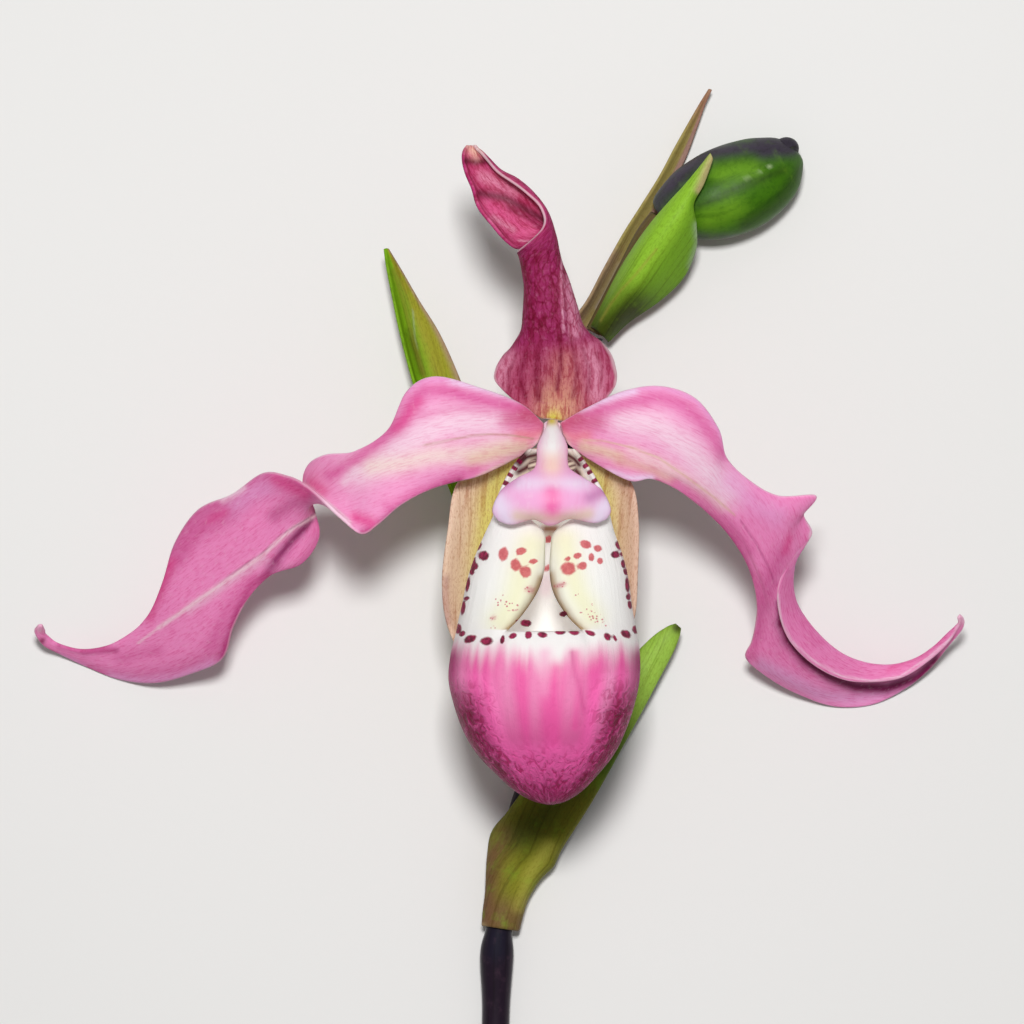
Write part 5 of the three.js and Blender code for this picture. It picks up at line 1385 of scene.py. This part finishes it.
def lip_section(station):
    """One section of the lip as a closed ring, from the left lobe's inner edge round the back."""
    y, left, right, side_z, front, back, left_edge, right_edge, tuck = station
    middle = (left + right) / 2
    half = (right - left - LIP_THICKNESS) / 2

    def edge_angle(x):
        part = min(max((x - middle) / half, -0.999), 0.999)
        return math.acos(math.copysign(abs(part) ** (LIP_ROUNDNESS / 2), part))

    from_left = edge_angle(left_edge)
    to_right = 2 * math.pi + edge_angle(right_edge)
    angle = np.concatenate([
        np.linspace(from_left, math.pi, LOBE_CELLS, endpoint=False),
        np.linspace(math.pi, 2 * math.pi, BACK_CELLS, endpoint=False),
        np.linspace(2 * math.pi, to_right, LOBE_CELLS, endpoint=False),
        np.linspace(to_right, 2 * math.pi + from_left, FRONT_CELLS, endpoint=False),
    ])
    c, s = np.cos(angle), np.sin(angle)
    wide = np.sign(c) * np.abs(c) ** (2 / LIP_ROUNDNESS)
    deep = np.sign(s) * np.abs(s) ** (2 / LIP_ROUNDNESS)
    x = middle + half * wide
    nearest = np.minimum(np.abs(x - left_edge), np.abs(x - right_edge))
    dip = np.where(s > 0, tuck * np.exp(-(nearest / LOBE_TUCK_WIDTH) ** 2), 0)
    z = side_z + np.where(s > 0, front, back) * deep - dip
    return np.stack([x, np.full_like(x, y), z], -1), np.stack([wide, deep], -1)


def lip():
    sections = [lip_section(row) for row in along(LIP, steps(LIP, LIP_ROW_STEPS))]
    rings, around = (np.array(part) for part in zip(*sections))
    layer = Layer(rings, WHITE, len(LIP))
    ring = rings.shape[1]
    y = layer.y
    column = np.broadcast_to(np.arange(ring), y.shape)
    facing = (column < LOBE_CELLS) | (column >= LOBE_CELLS + BACK_CELLS)
    lobes = facing & (y > LOBE_END_Y)
    root = y > LIP_ROOT_Y
    layer.back = layer.tint.copy()

    length = np.repeat(lengths_along(rings)[:, LOBE_CELLS + BACK_CELLS // 2, None], ring, 1)
    layer.grain = np.concatenate([around * LIP_GRAIN, length[..., None]], -1)

    pouch(layer, around, facing)
    layer.paint(LOBE_STROKES, where=lobes)
    layer.paint(LIP_INSIDE_STROKES, where=~facing, back=True)
    for back in (False, True):
        layer.paint(LIP_ROOT_STROKES, where=root, back=back)
        layer.spots(0, root, BASE_STRIPES, back)
    layer.spots(0, facing, MAROON_SPOTS)
    layer.spots(0, ~facing, INSIDE_MAROON_SPOTS, back=True)
    layer.spots(1, lobes, ROSE_SPOTS)
    layer.spots(1, ~facing, SLIT_SPOTS, back=True)
    layer.spots(2, lobes, FAINT_SPOTS)

    keep = np.ones((rings.shape[0] - 1, ring), bool)
    keep[:LIP_RIM_STATION * LIP_ROW_STEPS - RIM_LIFT_ROWS, ring - FRONT_CELLS:] = False
    sheet("pouch", layer, LIP_THICKNESS, lip_skin(), "lip", closed=True, keep=keep, toe=True)


def pouch(layer, around, facing):
    """The pouch's colours: a white rim that fades through hot pink to magenta at its edges, with its sides
    and bottom darkened partly by their own deep magenta and partly by painted shade.
    """
    x, y = layer.x, layer.y
    wide = around[..., 0]
    behind = ramp(-around[..., 1], 0.1, 0.8)
    ring = x.shape[1]
    ragged = np.random.default_rng(STREAK_SEED).normal(0, 1, ring + STREAK_CELLS - 1)
    ragged = np.convolve(ragged, np.ones(STREAK_CELLS) / STREAK_CELLS, "valid")[None, :]
    fade = WHITE_RIM_END + 1.8 * np.exp(-((x + 0.9) / 2.6) ** 2) + 0.5 * ragged + 0.25 * np.sin(wide * 15)
    below = ramp(-y, fade, fade + 4.3 + 0.8 * ragged)
    layer.wash(POUCH_PINK, below * 0.95)
    streaks = 0.5 + 0.5 * np.sin(wide * 17 + 1.2 * np.sin(wide * 7 + 1))
    layer.wash(HOT_PINK, below * facing * 0.6 * streaks ** 2 * (1 - ramp(-y, 36, 43)))
    layer.wash(POUCH_PALE, below * facing * 0.45 * (1 - streaks) ** 2 * (1 - ramp(-y, 33, 40)))
    layer.wash(POUCH_MAUVE, 0.7 * ramp(-y, 34, 42))
    layer.stroke(POUCH_PALE, 0.9, 0.6, (-0.9, -28.2), (-0.9, -32.5), where=facing)
    layer.stroke(HOT_PINK, 0.9, 0.7, (0.6, -30), (0.5, -35), (0.2, -39), where=facing)
    layer.stroke(HOT_PINK, 0.5, 0.6, (2.9, -28), (3.2, -32), (2.8, -37), where=facing)
    # A dark line along a crease in the pouch: painted shade in the crease.
    layer.stroke(POUCH_MAUVE, 0.28, 0.6, (2.4, -27.8), (2.7, -30), (3.4, -32.4), (3.9, -35), where=facing)
    layer.wash(POUCH_PALE, 0.3 * below * facing * np.clip(ragged, 0, 1) * (1 - ramp(-y, 31, 37)))
    edges = ramp(np.abs(wide), 0.84, 0.99) * ramp(-y, 26.4, 28.6)
    layer.wash(POUCH_EDGE, 0.85 * edges * (1 - behind))
    # The sides and the bottom: partly the pouch's own deep magenta, partly painted shade where they turn away
    # from the light.
    sides = ramp(np.abs(wide), 0.54, 0.88) * ramp(-y, 30, 36)
    bottom = ramp(-y, 41.6, 45.8)
    dark = np.clip(sides + 0.75 * bottom, 0, 0.97)
    layer.wash(DARK_POUCH_AND_SHADE, dark)
    broad = ramp(np.abs(wide), 0.4, 0.8) * ramp(-y, 29, 35) + ramp(-y, 38, 43)
    layer.wrinkle = np.clip(np.maximum(dark, 0.85 * broad) + 0.08 * below * facing, 0, 1)
    # Painted glow: the inside face near the mouth gives off light, in place of light let through the thin
    # walls.
    layer.glow = ~facing * (1 - ramp(-y, 24, 30))
    layer.wash(POUCH_MAUVE, 0.8 * below * behind)
    layer.wash(YELLOW_CREAM, 0.7 * (1 - below) * behind)


# ------------------------------------------------------------------ the column


def column():
    rows = np.array(COLUMN)
    rows[2:, 2] -= COLUMN_CLEARANCE
    body = Layer(limb(rows, row_steps=8, sides=24, reference=(1, 0, 0)), PEACH, len(COLUMN))
    body.stroke(WHITE, 1.0, 0.95, (0, -0.4), (0, -1.8))
    solid("column_body", body, shield_skin(), "column")
    grid = blade(STAMINODE, columns=7, row_steps=14, column_count=61)
    shield = Layer(grid, SHIELD_PINK, len(STAMINODE))
    shield.paint(SHIELD_STROKES)
    sheet("staminode", shield, SHIELD_THICKNESS, shield_skin(), "column")
    for name, x in (("anther_left", -ANTHER[0]), ("anther_right", ANTHER[0])):
        anther = Layer(globe(x, *ANTHER[1:]), CREAM)
        for y in ANTHER_STRIPES:
            anther.stroke(STRIPE_BROWN, ANTHER_STRIPE, 0.95, (x - 1, y - 0.3), (x + 1, y + 0.3))
        solid(name, anther, shield_skin(), "column")
    solid("stigma", Layer(globe(*STIGMA), BLUSH), shield_skin(), "column")


def globe(x, y, z, radius):
    """The rings of a slightly lobed ball."""
    polar = np.linspace(CAP_TURN, np.pi - CAP_TURN, GLOBE_RINGS)[:, None]
    turn = np.linspace(0, 2 * np.pi, GLOBE_SIDES, endpoint=False)[None, :]
    lobed = radius * (0.94 + 0.05 * np.cos(2 * turn))
    return np.stack([
        x + lobed * np.sin(polar) * np.cos(turn),
        y + lobed * np.sin(polar) * np.sin(turn),
        z - radius * 0.97 * np.cos(polar) * np.ones_like(turn),
    ], -1)


# ------------------------------------------------------------------ the bracts, the bud and the stem


def floral_bract():
    grid = blade(FLORAL_BRACT, columns=5, row_steps=10, column_count=41)
    layer = Layer(grid, BRACT_GREEN, len(FLORAL_BRACT))
    layer.wash(BRACT_YELLOW, ramp(layer.across, 0.5, 0.8))
    layer.wash(MAUVE_EDGE, 0.7 * ramp(layer.across, 0.9, 1.0))
    layer.paint(FLORAL_BRACT_STROKES)
    skin = leaf_skin("flower_bract_skin", LEAF_VEIN, LIME)
    sheet("flower_bract", layer, BRACT_THICKNESS, skin, "floral_bract")


def end_bract():
    layer = Layer(blade(END_BRACT, columns=5, row_steps=10, column_count=41), OLIVE_TAN, len(END_BRACT))
    layer.wash(MAUVE_GREY, ramp(layer.across, 0.4, 0.7))
    layer.wash(PINK_BROWN, 0.8 * ramp(layer.station, 6.4, 8.4))
    layer.paint(END_BRACT_STROKES)
    skin = leaf_skin("end_bract_skin", MAUVE_VEIN, TAN)
    sheet("stem_end_bract", layer, BRACT_THICKNESS, skin, "end_bract")


def bud_bract():
    grid = blade(BUD_BRACT, columns=7, row_steps=12, column_count=57)
    layer = Layer(grid, BRACT_LIME, len(BUD_BRACT))
    layer.wash(DEEP_LIME, 0.6 * ramp(layer.across, 0.5, 0.75))
    layer.paint(BUD_BRACT_STROKES)
    skin = leaf_skin("bud_bract_skin", LEAF_VEIN, LIME)
    sheet("bract_of_bud", layer, BRACT_THICKNESS, skin, "bud_bract")


def sheath_bract():
    grid = scroll(SHEATH_BRACT, SHEATH_ROW_STEPS, SHEATH_COLUMNS)
    layer = Layer(grid, SHEATH_INSIDE, len(SHEATH_BRACT))
    layer.wash(LEAF_LIME, 0.5 * ramp(layer.y, -42, -36))
    layer.back = np.ones(grid.shape) * linear(SHEATH_GREEN)
    layer.wash(SHEATH_MAUVE, 0.75 * (1 - ramp(layer.y, -60.5, -57)), True)
    layer.paint(SHEATH_STROKES, back=True)
    # The blade's own green, darkened below its lime tip partly by painted shadow of the pouch.
    layer.wash(BLADE_GREEN_AND_SHADOW, 0.8 * ramp(layer.y, -47, -42), True)
    layer.wash(LEAF_LIME, 0.95 * ramp(layer.y, -41, -33), True)
    layer.paint(SHEATH_TIP_STROKES, back=True)
    keep = np.ones((len(grid) - 1, SHEATH_COLUMNS - 1), bool)
    keep[SHEATH_MOUTH_STATION * SHEATH_ROW_STEPS:, :SHEATH_COLUMNS // 2] = False
    skin = leaf_skin("sheath_skin", LEAF_VEIN, LIME)
    sheet("sheath", layer, BRACT_THICKNESS, skin, "sheath_bract", keep=keep)


def bud():
    layer = Layer(limb(BUD, row_steps=12, sides=64), GREEN, len(BUD))
    layer.paint(BUD_STROKES, where=layer.grid[..., 2] > BUD_BACK_Z)
    solid("flower_bud", layer, bud_skin(), "bud")
    solid("bud_knob", Layer(globe(*BUD_KNOB), BUD_KNOB_DARK), bud_skin(), "bud")


def stalks():
    stem = Layer(limb(STEM, row_steps=10, sides=32), STEM_DARK, len(STEM))
    stem.stroke(STEM_BAND, 1.6, 0.9, (-6.8, -63.2), (-6.9, -65.0))
    stem.stroke(CUT_FACE, 0.8, 0.95, (-9.8, -104.3), (-6.2, -104.3))
    solid("flower_stem", stem, stem_skin(), "stem")
    stalk = Layer(limb(BUD_STALK, row_steps=10, sides=24), STALK_BROWN, len(BUD_STALK))
    solid("stalk_of_bud", stalk, leaf_skin("stalk_skin", LEAF_VEIN, GREEN), "bud_stalk")
    ovary = Layer(limb(OVARY, row_steps=10, sides=28, reference=(1, 0, 0)), STEM_DARK, len(OVARY))
    ovary.wash(BLUSH, ramp(ovary.station, 4.4, 6.0))
    solid("ovary_piece", ovary, stem_skin(), "ovary")


# ------------------------------------------------------------------ floor, light and camera


def floor():
    mesh = bpy.data.meshes.new("floor")
    corners = ((-1, -1), (1, -1), (1, 1), (-1, 1))
    mesh.from_pydata([(FLOOR_REACH * x, FLOOR_REACH * y, 0) for x, y in corners], [], [[0, 1, 2, 3]])
    s = Shader("floor_paper")
    position = s.node("ShaderNodeTexCoord").outputs["Object"]
    tooth = s.noise(position, 900.0)
    cloud = s.noise(position, 2.5)
    color = s.mix(s.between(cloud, 0.3, 0.7), srgb(PAPER_DARK), srgb(PAPER_LIGHT))
    rough = s.between(tooth, 0.3, 0.7, 0.75, 0.85)
    mesh.materials.append(s.finish(color, tooth, rough, bump=0.1, bump_distance=0.05))
    plane = bpy.data.objects.new("floor", mesh)
    bpy.context.scene.collection.objects.link(plane)


def light(name, energy, size, position, target):
    lamp = bpy.data.lights.new(name, "AREA")
    lamp.energy = energy
    lamp.size = size
    lamp_object = bpy.data.objects.new(name, lamp)
    lamp_object.location = position
    lamp_object.rotation_euler = (Vector(target) - Vector(position)).to_track_quat("-Z", "Y").to_euler()
    bpy.context.scene.collection.objects.link(lamp_object)


def surroundings():
    world = bpy.data.worlds.new("studio")
    world.use_nodes = True
    background = world.node_tree.nodes["Background"]
    background.inputs["Color"].default_value = (1.0, 1.0, 1.0, 1.0)
    background.inputs["Strength"].default_value = WORLD_STRENGTH
    bpy.context.scene.world = world
    light("key", KEY_WATTS, KEY_SIZE, KEY_PLACE, KEY_TARGET)
    bpy.context.scene.view_settings.view_transform = "Standard"


def camera():
    data = bpy.data.cameras.new("camera")
    data.sensor_width = SENSOR
    data.lens = SENSOR * (EYE_HEIGHT - FLOWER_HEIGHT) / VIEW_WIDTH
    eye = bpy.data.objects.new("camera", data)
    eye.location = Vector((EYE_X - ORIGIN_X, EYE_Y - ORIGIN_Y, EYE_HEIGHT)) * MM
    bpy.context.scene.collection.objects.link(eye)
    bpy.context.scene.camera = eye


for build in (floor, surroundings, camera, petal_left, petal_right, dorsal_sepal, synsepal, lip, column,
              floral_bract, end_bract, bud_bract, sheath_bract, bud, stalks):
    build()
